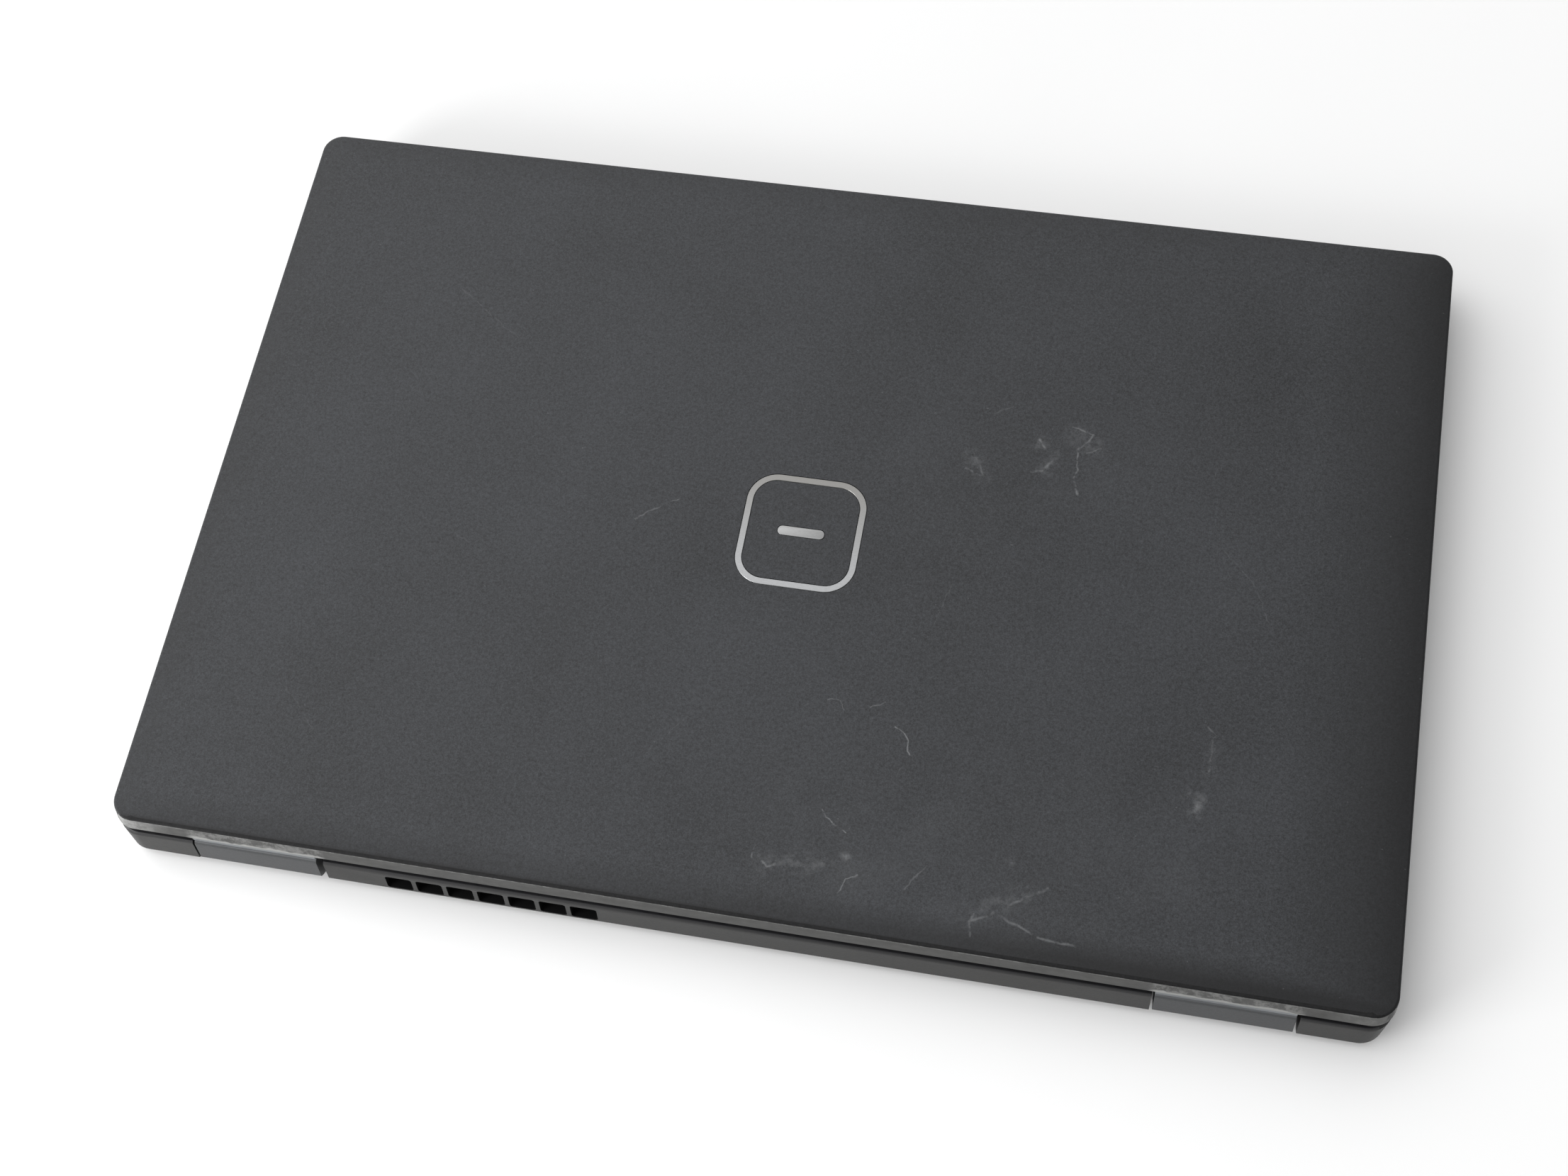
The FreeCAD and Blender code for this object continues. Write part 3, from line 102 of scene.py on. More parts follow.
# Each light's place, target and size in metres and its power; how the world's brightness rises
# or falls along each axis.
LIGHTS = {
    "key": ((1.4, -0.6, 1.5), (0.05, 0, 0), 1.6, 6),
    "side": ((0.75, 0.6, 0.3), (0.1, 0.118, 0.008), 0.5, 7),
}
WORLD_RAMPS = {"X": (-0.4, 0.2, 0.4, 1.62), "Y": (-0.05, 0.6, 1.0, 0.4)}
FLOOR_HALF = 4
WHITE = (1, 1, 1, 1)


def studio():
    """A pale floor under soft light, stronger from the user's right and weaker from the rear."""
    world = bpy.data.worlds.new("studio")
    world.use_nodes = True
    nodes = world.node_tree.nodes
    direction = nodes.new("ShaderNodeTexCoord")
    axes = nodes.new("ShaderNodeSeparateXYZ")
    share = nodes.new("ShaderNodeMath")
    share.operation = "MULTIPLY"
    link = world.node_tree.links.new
    link(direction.outputs["Generated"], axes.inputs[0])
    for (axis, settings), factor in zip(WORLD_RAMPS.items(), share.inputs):
        ramp = nodes.new("ShaderNodeMapRange")
        ramp.interpolation_type = "SMOOTHSTEP"
        for socket, setting in zip(RANGE_SOCKETS, settings):
            ramp.inputs[socket].default_value = setting
        link(axes.outputs[axis], ramp.inputs["Value"])
        link(ramp.outputs["Result"], factor)
    nodes["Background"].inputs["Color"].default_value = WHITE
    link(share.outputs[0], nodes["Background"].inputs["Strength"])
    SCENE.world = world
    SCENE.view_settings.view_transform = "Standard"
    for name, settings in LIGHTS.items():
        softbox(name, *settings)
    plane = bmesh.new()
    bmesh.ops.create_grid(plane, x_segments=1, y_segments=1, size=FLOOR_HALF)
    look = Look("studio_floor", (0.93, 0.93, 0.93), 0.9)
    look.tint(look.noise(6, 3), 0.99, 1.01)
    floor = finished("floor", plane, [look.material])


# ------------------------------------------------------------------ materials


class Look:
    """A Principled material with helpers that add and join nodes."""

    def __init__(self, name, colour, roughness, metallic=0.0, **settings):
        self.material = bpy.data.materials.new(name)
        self.material.use_nodes = True
        self.tree = self.material.node_tree
        self.shader = self.tree.nodes["Principled BSDF"]
        self.colour = (*colour, 1)
        self.set("Base Color", self.colour)
        self.set("Roughness", roughness)
        self.set("Metallic", metallic)
        for socket, setting in settings.items():
            self.set(socket.replace("_", " "), setting)
        self.place = self.add("ShaderNodeTexCoord").outputs["Object"]

    def set(self, socket, setting):
        self.shader.inputs[socket].default_value = setting

    def add(self, kind, **settings):
        node = self.tree.nodes.new(kind)
        for name, setting in settings.items():
            setattr(node, name, setting)
        return node

    def join(self, value, socket):
        """Link a socket, or set a plain value."""
        if isinstance(value, bpy.types.NodeSocket):
            self.tree.links.new(value, socket)
        else:
            socket.default_value = value

    def math(self, operation, first, second=0.0, clamp=False):
        node = self.add("ShaderNodeMath", operation=operation, use_clamp=clamp)
        self.join(first, node.inputs[0])
        self.join(second, node.inputs[1])
        return node.outputs[0]

    def times(self, first, second):
        return self.math("MULTIPLY", first, second)

    def weighted(self, first, first_share, second, second_share):
        """Two patterns added, each by its share."""
        return self.math("ADD", self.times(first, first_share), self.times(second, second_share))

    def axes(self):
        """The place's X, Y and Z."""
        node = self.add("ShaderNodeSeparateXYZ")
        self.join(self.place, node.inputs[0])
        return node.outputs["X"], node.outputs["Y"], node.outputs["Z"]

    def paint(self, colour):
        self.join(colour, self.shader.inputs["Base Color"])

    def vector(self, operation, first, second=(0, 0, 0)):
        node = self.add("ShaderNodeVectorMath", operation=operation)
        self.join(first, node.inputs[0])
        self.join(second, node.inputs[1])
        return node.outputs["Vector"]

    def stretched(self, scale):
        """The place with its axes scaled, for streaks."""
        return self.vector("MULTIPLY", self.place, scale)

    def noise(self, scale, detail=2.0, place=None, roughness=0.5):
        node = self.add("ShaderNodeTexNoise")
        self.join(place or self.place, node.inputs["Vector"])
        node.inputs["Scale"].default_value = scale
        node.inputs["Detail"].default_value = detail
        node.inputs["Roughness"].default_value = roughness
        return node.outputs["Fac"]

    def spread(self, value, low, high, to_low=0.0, to_high=1.0):
        """Map a range to another, held at both ends."""
        node = self.add("ShaderNodeMapRange")
        self.join(value, node.inputs["Value"])
        for socket, setting in zip(RANGE_SOCKETS, (low, high, to_low, to_high)):
            node.inputs[socket].default_value = setting
        return node.outputs["Result"]

    def mix(self, amount, first, second):
        node = self.add("ShaderNodeMix", data_type="RGBA")
        self.join(amount, node.inputs["Factor"])
        self.join(first, node.inputs["A"])
        self.join(second, node.inputs["B"])
        return node.outputs["Result"]

    def tint(self, value, dark, light):
        """Colour the surface by a pattern, from a darker to a lighter shade of its colour."""
        red, green, blue = self.colour[:3]
        shades = [(red * k, green * k, blue * k, 1) for k in (dark, light)]
        colour_socket = self.mix(self.spread(value, 0.3, 0.7), *shades)
        self.paint(colour_socket)
        return colour_socket

    def bump(self, height, depth):
        """Raise the surface by a pattern, by a depth in metres."""
        node = self.add("ShaderNodeBump")
        node.inputs["Strength"].default_value = 1.0
        node.inputs["Distance"].default_value = depth
        self.join(height, node.inputs["Height"])
        self.join(node.outputs["Normal"], self.shader.inputs["Normal"])

    def roughen(self, value, low, high):
        self.join(self.spread(value, 0.25, 0.75, low, high), self.shader.inputs["Roughness"])


def mark_group():
    """A node group: a line between two points that fades with distance, over the marks before it."""
    tree = bpy.data.node_groups.new("mark", "ShaderNodeTree")
    for name in ("Place", "Start", "Span"):
        tree.interface.new_socket(name, in_out="INPUT", socket_type="NodeSocketVector")
    for name in ("Width", "Strength", "Others"):
        tree.interface.new_socket(name, in_out="INPUT", socket_type="NodeSocketFloat")
    tree.interface.new_socket("Mask", in_out="OUTPUT", socket_type="NodeSocketFloat")
    source = tree.nodes.new("NodeGroupInput").outputs
    result = tree.nodes.new("NodeGroupOutput").inputs["Mask"]

    def step(kind, operation, *values, output=0, clamp=False):
        node = tree.nodes.new(kind)
        node.operation = operation
        if clamp:
            node.use_clamp = True
        for value, socket in zip(values, node.inputs):
            if isinstance(value, bpy.types.NodeSocket):
                tree.links.new(value, socket)
            else:
                socket.default_value = value
        return node.outputs[output]

    vector, number = "ShaderNodeVectorMath", "ShaderNodeMath"
    # A negligible share of the earlier marks makes the marks work out one after another.
    ordered = step(vector, "ADD", source["Place"], step(number, "MULTIPLY", source["Others"], 1e-9))
    offset = step(vector, "SUBTRACT", ordered, source["Start"])
    reach = step(vector, "DOT_PRODUCT", offset, source["Span"], output="Value")
    whole = step(vector, "DOT_PRODUCT", source["Span"], source["Span"], output="Value")
    share = step(number, "DIVIDE", reach, whole, clamp=True)
    nearest = step(vector, "MULTIPLY", source["Span"], share)
    gap = step(vector, "SUBTRACT", offset, nearest)
    fade = step(number, "DIVIDE", step(vector, "LENGTH", gap, output="Value"), source["Width"])
    own = step(number, "MULTIPLY", step(number, "SUBTRACT", 1.0, fade, clamp=True), source["Strength"])
    tree.links.new(step(number, "MAXIMUM", own, source["Others"]), result)
    return tree


MARK = mark_group()

# Marks on the lid as runs of points (x, y) with a half width and a strength.
SCRATCHES = (
    (((49.5, 2.5), (44, -2), (38, -6)), 0.35, 0.5),
    (((-37.2, 55.4), (-38.4, 55.8), (-40.9, 58.5), (-41.5, 60.4), (-42.9, 63.2)), 0.28, 1.0),
    (((-29.4, 51.1), (-33.6, 48.9)), 0.25, 0.6), (((-17.2, 50.3), (-20.5, 50.1), (-22.2, 53.1)), 0.25, 0.5),
    (((-25.5, 55.2), (-26.8, 54.3)), 0.35, 0.55), (((-41.3, 67.1), (-40, 70.3)), 0.25, 0.3),
    (((-21.3, 82.9), (-22.5, 84.8), (-23.8, 85), (-25, 86.3), (-28.9, 88.6)), 0.3, 1.0),
    (((-76.2, -37.4), (-77.4, -31.7), (-76.5, -28.8), (-78.2, -23.7)), 0.4, 0.75),
    (((-73.9, -45.8), (-80.6, -44), (-79.3, -41.5), (-76.2, -37.9)), 0.4, 0.6),
    (((-79.4, -37.4), (-83.1, -39.8)), 0.3, 0.5), (((-64.9, -40.4), (-66.9, -37.9)), 0.5, 0.7),
    (((-62.5, -28.7), (-67.1, -30.2), (-69.9, -33.8)), 0.5, 0.6),
    (((-45, -27.5), (-50.1, -25.5), (-48.7, -29.4), (-45.7, -33.1)), 0.4, 0.4),
    (((-66.2, 107.7), (-75.2, 102.6), (-85.7, 95.3)), 0.6, 0.5),
    (((-74.1, 105), (-80.2, 107.3), (-85.5, 109.8), (-94.8, 110.1)), 0.5, 0.6),
    (((-67, 105.4), (-66.2, 107.7), (-67.2, 111.6)), 0.5, 0.4),
    (((-29.2, 105.8), (-31.4, 101.7), (-34.1, 100.1)), 0.3, 0.7), (((-4.2, 99.2), (-5, 95.6)), 0.25, 0.6),
    (((-7.4, 99.8), (-8.8, 101.5), (-11.2, 100.4)), 0.5, 0.6), (((-47.5, 101.8), (-52.2, 94.2)), 0.3, 0.4),
    (((-123.3, 42.7), (-125.6, 44.8), (-124.9, 46.5), (-125, 52.7), (-124.8, 56.5)), 0.35, 0.4),
    (((-51, -47.2), (-55.5, -50.2)), 0.35, 0.3), (((-46.5, 10), (-43, 24)), 0.25, 0.2),
    (((-122, -12), (-132, -2), (-137, 10)), 0.25, 0.2), (((121, -68), (99, -53)), 0.25, 0.25),
    (((20, 60), (31, 74)), 0.25, 0.15), (((92, 20), (108, 12)), 0.25, 0.15),
    (((140, 70), (128, 82)), 0.25, 0.15),
)
SMEARS = (
    (((-64.9, -39), (-69.8, -37.4)), 3.2, 0.7), (((-67, -30), (-70, -33.5)), 3.2, 0.5),
    (((-75, -43), (-80.5, -40)), 4.5, 0.55), (((-46, -32), (-49.5, -26)), 4.0, 0.5),
    (((-8, 100), (-24, 98.5)), 4.5, 0.6), (((-114.4, 69.4), (-114.2, 69.3)), 1.6, 1.0),
    (((-123, 65), (-122.4, 67)), 3.4, 1.0), (((-119.5, 64), (-120.5, 66)), 3.0, 0.5),
    (((-66, 106), (-80, 98)), 4.5, 0.5), (((-124.9, 45), (-125, 56)), 3.0, 0.35),
    (((-30, 95), (-30.4, 94.6)), 1.6, 0.9), (((-74.8, 89.5), (-74.7, 89.3)), 1.8, 0.6),
)
HAZES = (
    (((-20, 85), (-90, 80)), 34, 0.5), (((-60, 104), (-120, 96)), 22, 0.6),
    (((-40, -20), (-80, -30)), 30, 0.3), (((0, 100), (-60, 96)), 14, 0.8),
)


def marks(look, place, table):
    """The strongest of several marks at each point."""
    strongest = 0.0
    for points, width, strength in table:
        for first, second in zip(points, points[1:]):
            node = look.add("ShaderNodeGroup", node_tree=MARK)
            look.join(place, node.inputs["Place"])
            start, end = (Vector((*point, 0)) * MM for point in (first, second))
            node.inputs["Start"].default_value = start
            node.inputs["Span"].default_value = end - start
            node.inputs["Width"].default_value = width * MM
            node.inputs["Strength"].default_value = strength
            look.join(strongest, node.inputs["Others"])
            strongest = node.outputs[0]
    return strongest


def lid_paint():
    """Matte charcoal with a fine fleck, a little blotchy, with painted shade near its edges, scratched and
    rubbed.
    """
    look = Look("lid_paint", (0.0272, 0.0288, 0.0322), 0.5, Specular_IOR_Level=0.35)
    fleck = look.noise(2600, 3)
    blotch = look.noise(22, 5)
    flat = look.stretched((1, 1, 0))
    wander = look.add("ShaderNodeTexNoise")
    look.join(flat, wander.inputs["Vector"])
    wander.inputs["Scale"].default_value = 260
    wander.inputs["Detail"].default_value = 3
    centred = look.vector("SUBTRACT", wander.outputs["Color"], (0.5, 0.5, 0.5))
    wavy = look.vector("ADD", flat, look.vector("MULTIPLY", centred, (0.0022, 0.0022, 0)))
    lines = look.times(marks(look, wavy, SCRATCHES), look.spread(look.noise(420, 3), 0.36, 0.56))
    crumbs = look.spread(look.noise(300, 6, roughness=0.7), 0.46, 0.66)
    patches = look.times(marks(look, wavy, SMEARS), crumbs)
    haze = look.times(marks(look, flat, HAZES), look.spread(look.noise(55, 5), 0.35, 0.8))
    speck = look.spread(look.noise(900, 1), 0.76, 0.82)
    worn = look.times(lines, 0.4)
    for pattern, weight in ((patches, 0.26), (haze, 0.06), (speck, 0.1)):
        worn = look.math("ADD", worn, look.times(pattern, weight), clamp=True)
    grain = look.weighted(fleck, 0.5, look.noise(1100, 2), 0.3)
    paint = look.tint(look.weighted(grain, 1.0, blotch, 0.2), 0.15, 1.95)
    # Painted shade: near the edges, most of all at the rear right, the paint is mixed towards near-black in
    # place of the shade its rounded edges fall into.
    shaded = look.mix(painted_edge_shade(look), paint, (0.003, 0.003, 0.0035, 1))
    look.paint(look.mix(worn, shaded, (0.34, 0.35, 0.36, 1)))
    look.roughen(look.weighted(blotch, 0.6, fleck, 0.4), 0.46, 0.58)
    look.bump(fleck, 0.00003)
    return look.material


def painted_edge_shade(look):
    """How much painted shade darkens the lid's paint near its four edges, and most of all at its rear right.
    """
    x, y, _ = look.axes()
    shade = look.times(look.spread(y, 0.1065, 0.1135), look.spread(x, 0.13, -0.1, 0, 0.85))
    # Each band mixes in more painted shade; the narrow rear one paints the dark line along the rolled rear
    # edge.
    bands = (
        (x, -0.145, -0.178, 0.8),
        (x, 0.168, 0.181, 0.35),
        (y, 0.106, 0.1165, 0.5),
        (y, 0.1136, 0.1158, 1.0),
        (y, -0.108, -0.121, 0.3),
    )
    for value, start, end, depth in bands:
        shade = look.math("MAXIMUM", shade, look.spread(value, start, end, 0, depth))
    return shade


def shaded_lid_edge():
    """Painted shade on the rolled edge between the lid's top and its rear strip: the lid's charcoal darkened
    to near-black.
    """
    look = Look("shaded_lid_edge", (0.006, 0.006, 0.0065), 0.6, Specular_IOR_Level=0.25)
    look.tint(look.noise(1500, 3), 0.6, 1.5)
    look.roughen(look.noise(700, 3), 0.55, 0.68)
    look.bump(look.noise(2600, 3), 0.00002)
    return look.material


def lid_strip():
    """The bare strip along the lid's rear edge, mottled above the hinge caps with a painted highlight along
    its lower part there, and pale at the corners.
    """
    look = Look("lid_strip", (0.06, 0.06, 0.058), 0.45, Specular_IOR_Level=0.35)
    x, _, z = look.axes()
    outward = look.math("ABSOLUTE", x)
    over_cap = look.times(look.spread(outward, 0.1155, 0.1175), look.spread(outward, 0.1575, 0.155))
    corner = look.spread(outward, 0.162, 0.174)
    # Painted highlight: over the caps, a pale band along the strip's lower part stands in for the light its
    # fillet into the cap catches.
    wobble = look.spread(look.noise(260, 4), 0.2, 0.8, -0.0007, 0.0007)
    painted_low_highlight = look.spread(look.math("ADD", z, wobble), 0.0147, 0.0143)
    crumbs = look.spread(look.noise(380, 6, roughness=0.75), 0.44, 0.6)
    cap_highlight_and_residue = look.times(look.math("MAXIMUM", painted_low_highlight, look.times(crumbs, 0.45)), over_cap)
    residue = look.math("ADD", look.times(crumbs, 0.5), 0.45)
    side_share = look.spread(x, -0.1, 0.1, 0.35, 1)
    on_corner = look.times(corner, look.times(residue, side_share))
    rim = look.times(look.spread(z, 0.01705, 0.0172), look.spread(crumbs, 0, 1, 0.1, 0.6))
    plain_strip = look.tint(look.noise(120, 4, look.stretched((1, 6, 6))), 0.82, 1.12)
    # These pale patches mix real residue at the caps, corners and top with the painted highlight over the
    # caps.
    rubbed = look.math("MAXIMUM", look.math("MAXIMUM", cap_highlight_and_residue, on_corner), rim)
    look.paint(look.mix(rubbed, plain_strip, (0.27, 0.272, 0.265, 1)))
    look.roughen(look.noise(500, 3), 0.36, 0.55)
    look.bump(look.noise(1800, 3), 0.00002)
    return look.material


def moulded(look, grain=1500):
    """A spark-eroded grain and rubbed patches on a look, and the shades they give its colour."""
    fine = look.noise(grain, 3)
    patch = look.noise(35, 4)
    return fine, patch, look.tint(look.weighted(fine, 0.6, patch, 0.4), 0.8, 1.2)


def base_shell():
    """The base's plastic, with painted shade along the top of its rear wall, where it meets the gap under
    the lid's rear edge.
    """
    look = Look("base_shell", (0.027, 0.0267, 0.0261), 0.46, Specular_IOR_Level=0.4)
    _, y, z = look.axes()
    fine, patch, shades = moulded(look)
    # Painted shade: the rear wall's top band is mixed to near-black, standing in for the shadow in the gap
    # under the lid.
    gap = look.times(look.spread(z, 0.0106, 0.0117), look.spread(y, 0.114, 0.116))
    look.paint(look.mix(gap, shades, (0.004, 0.004, 0.006, 1)))
    look.roughen(patch, 0.4, 0.53)
    look.bump(fine, 0.00003)
    return look.material


def emblem():
    """Brushed metal with painted shade, darker and warmer, over its front half."""
    look = Look("emblem_metal", (0.34, 0.345, 0.352), 0.36, 1.0)
    streak = look.noise(900, 4, look.stretched((1, 14, 1)))
    _, y, _ = look.axes()
    shades = look.tint(streak, 0.82, 1.12)
    # Painted shade: the front half is mixed towards a darker, warmer tone, standing in for a dimmer
    # reflection there.
    look.paint(look.mix(look.spread(y, 0.012, -0.018, 0, 0.75), shades, (0.19, 0.182, 0.168, 1)))
    look.roughen(streak, 0.3, 0.46)
    look.bump(streak, 0.00001)
    return look.material


def cap_shell():
    """A hinge cap's plastic, with a painted highlight on its upper part that runs up into the lid's strip.
    """
    look = Look("cap_shell", (0.04, 0.0418, 0.0445), 0.42)
    _, _, z = look.axes()
    fine, patch, shades = moulded(look)
    # Painted highlight: the cap's upper part is paled towards light grey to stand in for the light caught
    # where it curves into the lid's strip; rubbed wear breaks it into patches.
    rubbed = look.spread(look.noise(260, 4), 0.2, 0.6, 0.7, 1)
    neck_highlight = look.times(look.spread(z, 0.0113, 0.0119), rubbed)
    look.paint(look.mix(neck_highlight, shades, (0.2, 0.21, 0.22, 1)))
    look.roughen(patch, 0.36, 0.5)
    look.bump(fine, 0.00003)
    return look.material


def plastic(name, colour, roughness, grain=1500, depth=0.00003, **settings):
    """Moulded plastic: a fine spark-eroded grain and faint rubbed patches."""
    look = Look(name, colour, roughness, **settings)
    fine, patch, _ = moulded(look, grain)
    look.roughen(look.weighted(patch, 0.6, fine, 0.4), roughness - 0.07, roughness + 0.08)
    look.bump(fine, depth)
    return look.material


def metal(name, colour, roughness, stretch=(1, 1, 1)):
    """Metal with a brushed or rolled grain along one axis."""
    look = Look(name, colour, roughness, 1.0)
    streak = look.noise(900, 4, look.stretched(stretch))
    look.tint(streak, 0.82, 1.1)
    look.roughen(streak, roughness - 0.08, roughness + 0.1)
    look.bump(streak, 0.00001)
    return look.material


def circuit():
    """Green solder mask with a maze of traces under it."""
    look = Look("circuit_board", (0.012, 0.075, 0.035), 0.32)
    cells = look.add("ShaderNodeTexBrick")
    look.join(look.place, cells.inputs["Vector"])
    cells.inputs["Scale"].default_value = 260
    cells.inputs["Mortar Size"].default_value = 0.08
    trace = look.times(cells.outputs["Fac"], look.spread(look.noise(90, 3), 0.45, 0.55))
    look.paint(look.mix(trace, look.colour, (0.03, 0.16, 0.07, 1)))
    look.bump(trace, 0.00004)
    return look.material


def screen():
    """A switched-off matte display with a faint pixel grain."""
    look = Look("display_surface", (0.012, 0.012, 0.014), 0.22, Coat_Weight=0.3, Coat_Roughness=0.3)
    look.tint(look.noise(3000, 2), 0.85, 1.15)
    look.roughen(look.noise(1800, 3), 0.2, 0.3)
    look.bump(look.noise(4000, 2), 0.000004)
    return look.material


def make_looks():
    """Every material, by its slot or its own name."""
    return {
        "lid_finish": lid_paint(),
        "strip": lid_strip(),
        "shaded_lid_edge": shaded_lid_edge(),
        "base_plastic": base_shell(),
        "cap_plastic": cap_shell(),
        "bezel_plastic": plastic("bezel_plastic", (0.016, 0.016, 0.017), 0.5),
        "keycap_plastic": plastic("keycap_plastic", (0.016, 0.016, 0.0165), 0.45, 2200),
        "black_plastic": plastic("black_plastic", (0.014, 0.014, 0.015), 0.5),
        # Painted shade: a near-black, barely reflective finish for the vent slots' walls, standing in for
        # the shade inside the vents.
        "vent_shade": plastic("vent_shade", (0.003, 0.003, 0.0032), 0.8, Specular_IOR_Level=0.1),
        "rubber": plastic("rubber", (0.018, 0.018, 0.018), 0.75, 1200, 0.00005),
        "touch_surface": plastic("touch_surface", (0.038, 0.039, 0.041), 0.3, 3000, 0.000008),
        "legend": plastic("legend_ink", (0.62, 0.62, 0.62), 0.5, 3000, 0.000004),
        "emblem_metal": emblem(),
        "steel": metal("steel", (0.42, 0.42, 0.43), 0.36, (1, 8, 1)),
        "gold": metal("gold_contacts", (0.8, 0.55, 0.2), 0.3),
        "copper": metal("copper", (0.62, 0.29, 0.17), 0.36, (8, 1, 1)),
        # Painted shade: the heat sink's fins are made near-black, standing in for the shade inside the
        # vents.
        "fins": metal("shaded_fin_metal", (0.004, 0.004, 0.004), 0.7),
        "circuit_board": circuit(),
        "display_glass": screen(),
        "lens": plastic("lens_glass", (0.004, 0.004, 0.007), 0.12, 400, 0.000001),
    }


# ------------------------------------------------------------------ mesh helpers


def finished(name, mesh, materials, angle=30):
    """A mesh object from a bmesh, smooth except at edges sharper than an angle."""
    data = bpy.data.meshes.new(name)
    mesh.normal_update()
    mesh.to_mesh(data)
    mesh.free()
    for material in materials:
        data.materials.append(material)
    data.polygons.foreach_set("use_smooth", [True] * len(data.polygons))
    data.set_sharp_from_angle(angle=math.radians(angle))
    piece = bpy.data.objects.new(name, data)
    SCENE.collection.objects.link(piece)
    return piece


def applied(piece):
    """The piece with its modifiers made part of its mesh."""
    graph = bpy.context.evaluated_depsgraph_get()
    data = bpy.data.meshes.new_from_object(piece.evaluated_get(graph))
    piece.modifiers.clear()
    old = piece.data
    piece.data = data
    bpy.data.meshes.remove(old)
    return piece


def carved(piece, cutters):
    """The piece without the cutters' volumes."""
    for cutter in cutters:
        trim = piece.modifiers.new("trim", "BOOLEAN")
        trim.operation = "DIFFERENCE"
        trim.solver = "EXACT"
        trim.object = cutter
        applied(piece)
        bpy.data.objects.remove(cutter)
    return piece


def weigh_normals(piece, angle=30):
    """Let large flat faces keep flat shading next to their rounded edges."""
    piece.data.polygons.foreach_set("use_smooth", [True] * len(piece.data.polygons))
    piece.data.set_sharp_from_angle(angle=math.radians(angle))
    weigh = piece.modifiers.new("weigh", "WEIGHTED_NORMAL")
    weigh.keep_sharp = True
    weigh.weight = 50
    applied(piece)


def corner_points(left, right, front, rear, radii, steps):
    """A round-cornered rectangle's points, counter-clockwise; radii are front then rear."""
    front_radius, rear_radius = radii
    centres = (
        (right - front_radius, front + front_radius, front_radius, -90),
        (right - rear_radius, rear - rear_radius, rear_radius, 0),
        (left + rear_radius, rear - rear_radius, rear_radius, 90),
        (left + front_radius, front + front_radius, front_radius, 180),
    )
    points = []
    for x, y, radius, start in centres:
        for step in range(steps + 1):
            turn = math.radians(start + 90 * step / steps)
            points.append((x + radius * math.cos(turn), y + radius * math.sin(turn)))
    return points


def circle_points(centre, radius, angles):
    """The points of a circle at some angles."""
    return [(centre[0] + radius * math.cos(angle), centre[1] + radius * math.sin(angle)) for angle in angles]


def rings_to_mesh(rings, close_low=True, close_high=True):
    """Quads between rings of the same number of points, in metres."""
    mesh = bmesh.new()
    rows = [[mesh.verts.new(Vector(point) * MM) for point in ring] for ring in rings]
    for low, high in zip(rows, rows[1:]):
        for index in range(len(low)):
            following = (index + 1) % len(low)
            mesh.faces.new((low[index], low[following], high[following], high[index]))
    if close_low:
        mesh.faces.new(reversed(rows[0]))
    if close_high:
        mesh.faces.new(rows[-1])
    return mesh


def around(middle, half):
    """The range that reaches as far to both sides of a middle."""
    return middle - half, middle + half


def inset_outline(low, high, inset, corner, steps):
    """The outline of a box seen from above, moved inwards."""
    bounds = (low[0] + inset, high[0] - inset, low[1] + inset, high[1] - inset)
    return corner_points(*bounds, (corner, corner), steps)


def slab(name, x_range, y_range, z_range, corner, edge, material, steps=6):
    """A round-cornered plate whose top and bottom edges are rounded."""
    floor, roof = zip(x_range, y_range)
    low, high = z_range
    rings = []
    for height, sign in ((low, 1), (high, -1)):
        band = []
        for step in range(4):
            turn = math.radians(30 * step)
            inset = edge * (1 - math.sin(turn))
            rise = edge * (1 - math.cos(turn))
            radius = max(corner - inset, 0.05)
            outline = inset_outline(floor, roof, inset, radius, steps)
            band.append([(x, y, height + sign * rise) for x, y in outline])
        rings += band if sign > 0 else band[::-1]
    return finished(name, rings_to_mesh(rings), [material], 40)


def slab_in(name, box, corner, edge, material, steps=6):
    """A plate that fills a box."""
    return slab(name, *zip(*box), corner, edge, material, steps)


def joined(name, pieces):
    """Several mesh objects as one."""
    mesh = bmesh.new()
    materials = []
    for piece in pieces:
        start = len(mesh.faces)
        mesh.from_mesh(piece.data)
        mesh.faces.ensure_lookup_table()
        for material in piece.data.materials:
            if material not in materials:
                materials.append(material)
        for face in mesh.faces[start:]:
            face.material_index = materials.index(piece.data.materials[face.material_index])
    for piece in pieces:
        bpy.data.objects.remove(piece)
    return finished(name, mesh, materials, 40)


def part_of(piece, node, replace=True):
    """Tie a piece to a CAD node: its body, and in its place if asked."""
    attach(piece, BODY_OF[node])
    if replace:
        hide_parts(node)
    return piece


def box_mm(node):
    """A CAD node's lowest and highest corners in millimetres."""
    low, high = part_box(node)
    return low / MM, high / MM


def islands(node):
    """The boxes of a node's solids, in millimetres, by row from the rear and from left to right."""
    mesh = bmesh.new()
    mesh.from_mesh(NODES[node].data)
    bmesh.ops.remove_doubles(mesh, verts=mesh.verts, dist=1e-6)
    seen = set()
    boxes = []
    for start in mesh.verts:
        if start in seen:
            continue
        stack = [start]
        seen.add(start)
        points = []
        while stack:
            vertex = stack.pop()
            points.append(vertex.co / MM)
            for edge in vertex.link_edges:
                other = edge.other_vert(vertex)
                if other not in seen:
                    seen.add(other)
                    stack.append(other)
        low = Vector([min(p[axis] for p in points) for axis in range(3)])
        high = Vector([max(p[axis] for p in points) for axis in range(3)])
        boxes.append((low, high))
    mesh.free()
    return sorted(boxes, key=lambda box: (-round(box[0].y), box[0].x))


# Faces with many corners are kept as triangles; forms with many faces aren't simplified at all.
MOST_CORNERS = 24
MOST_FACES = 4000
# Edges that turn by more than this are rounded, in degrees.
SHARP = 40


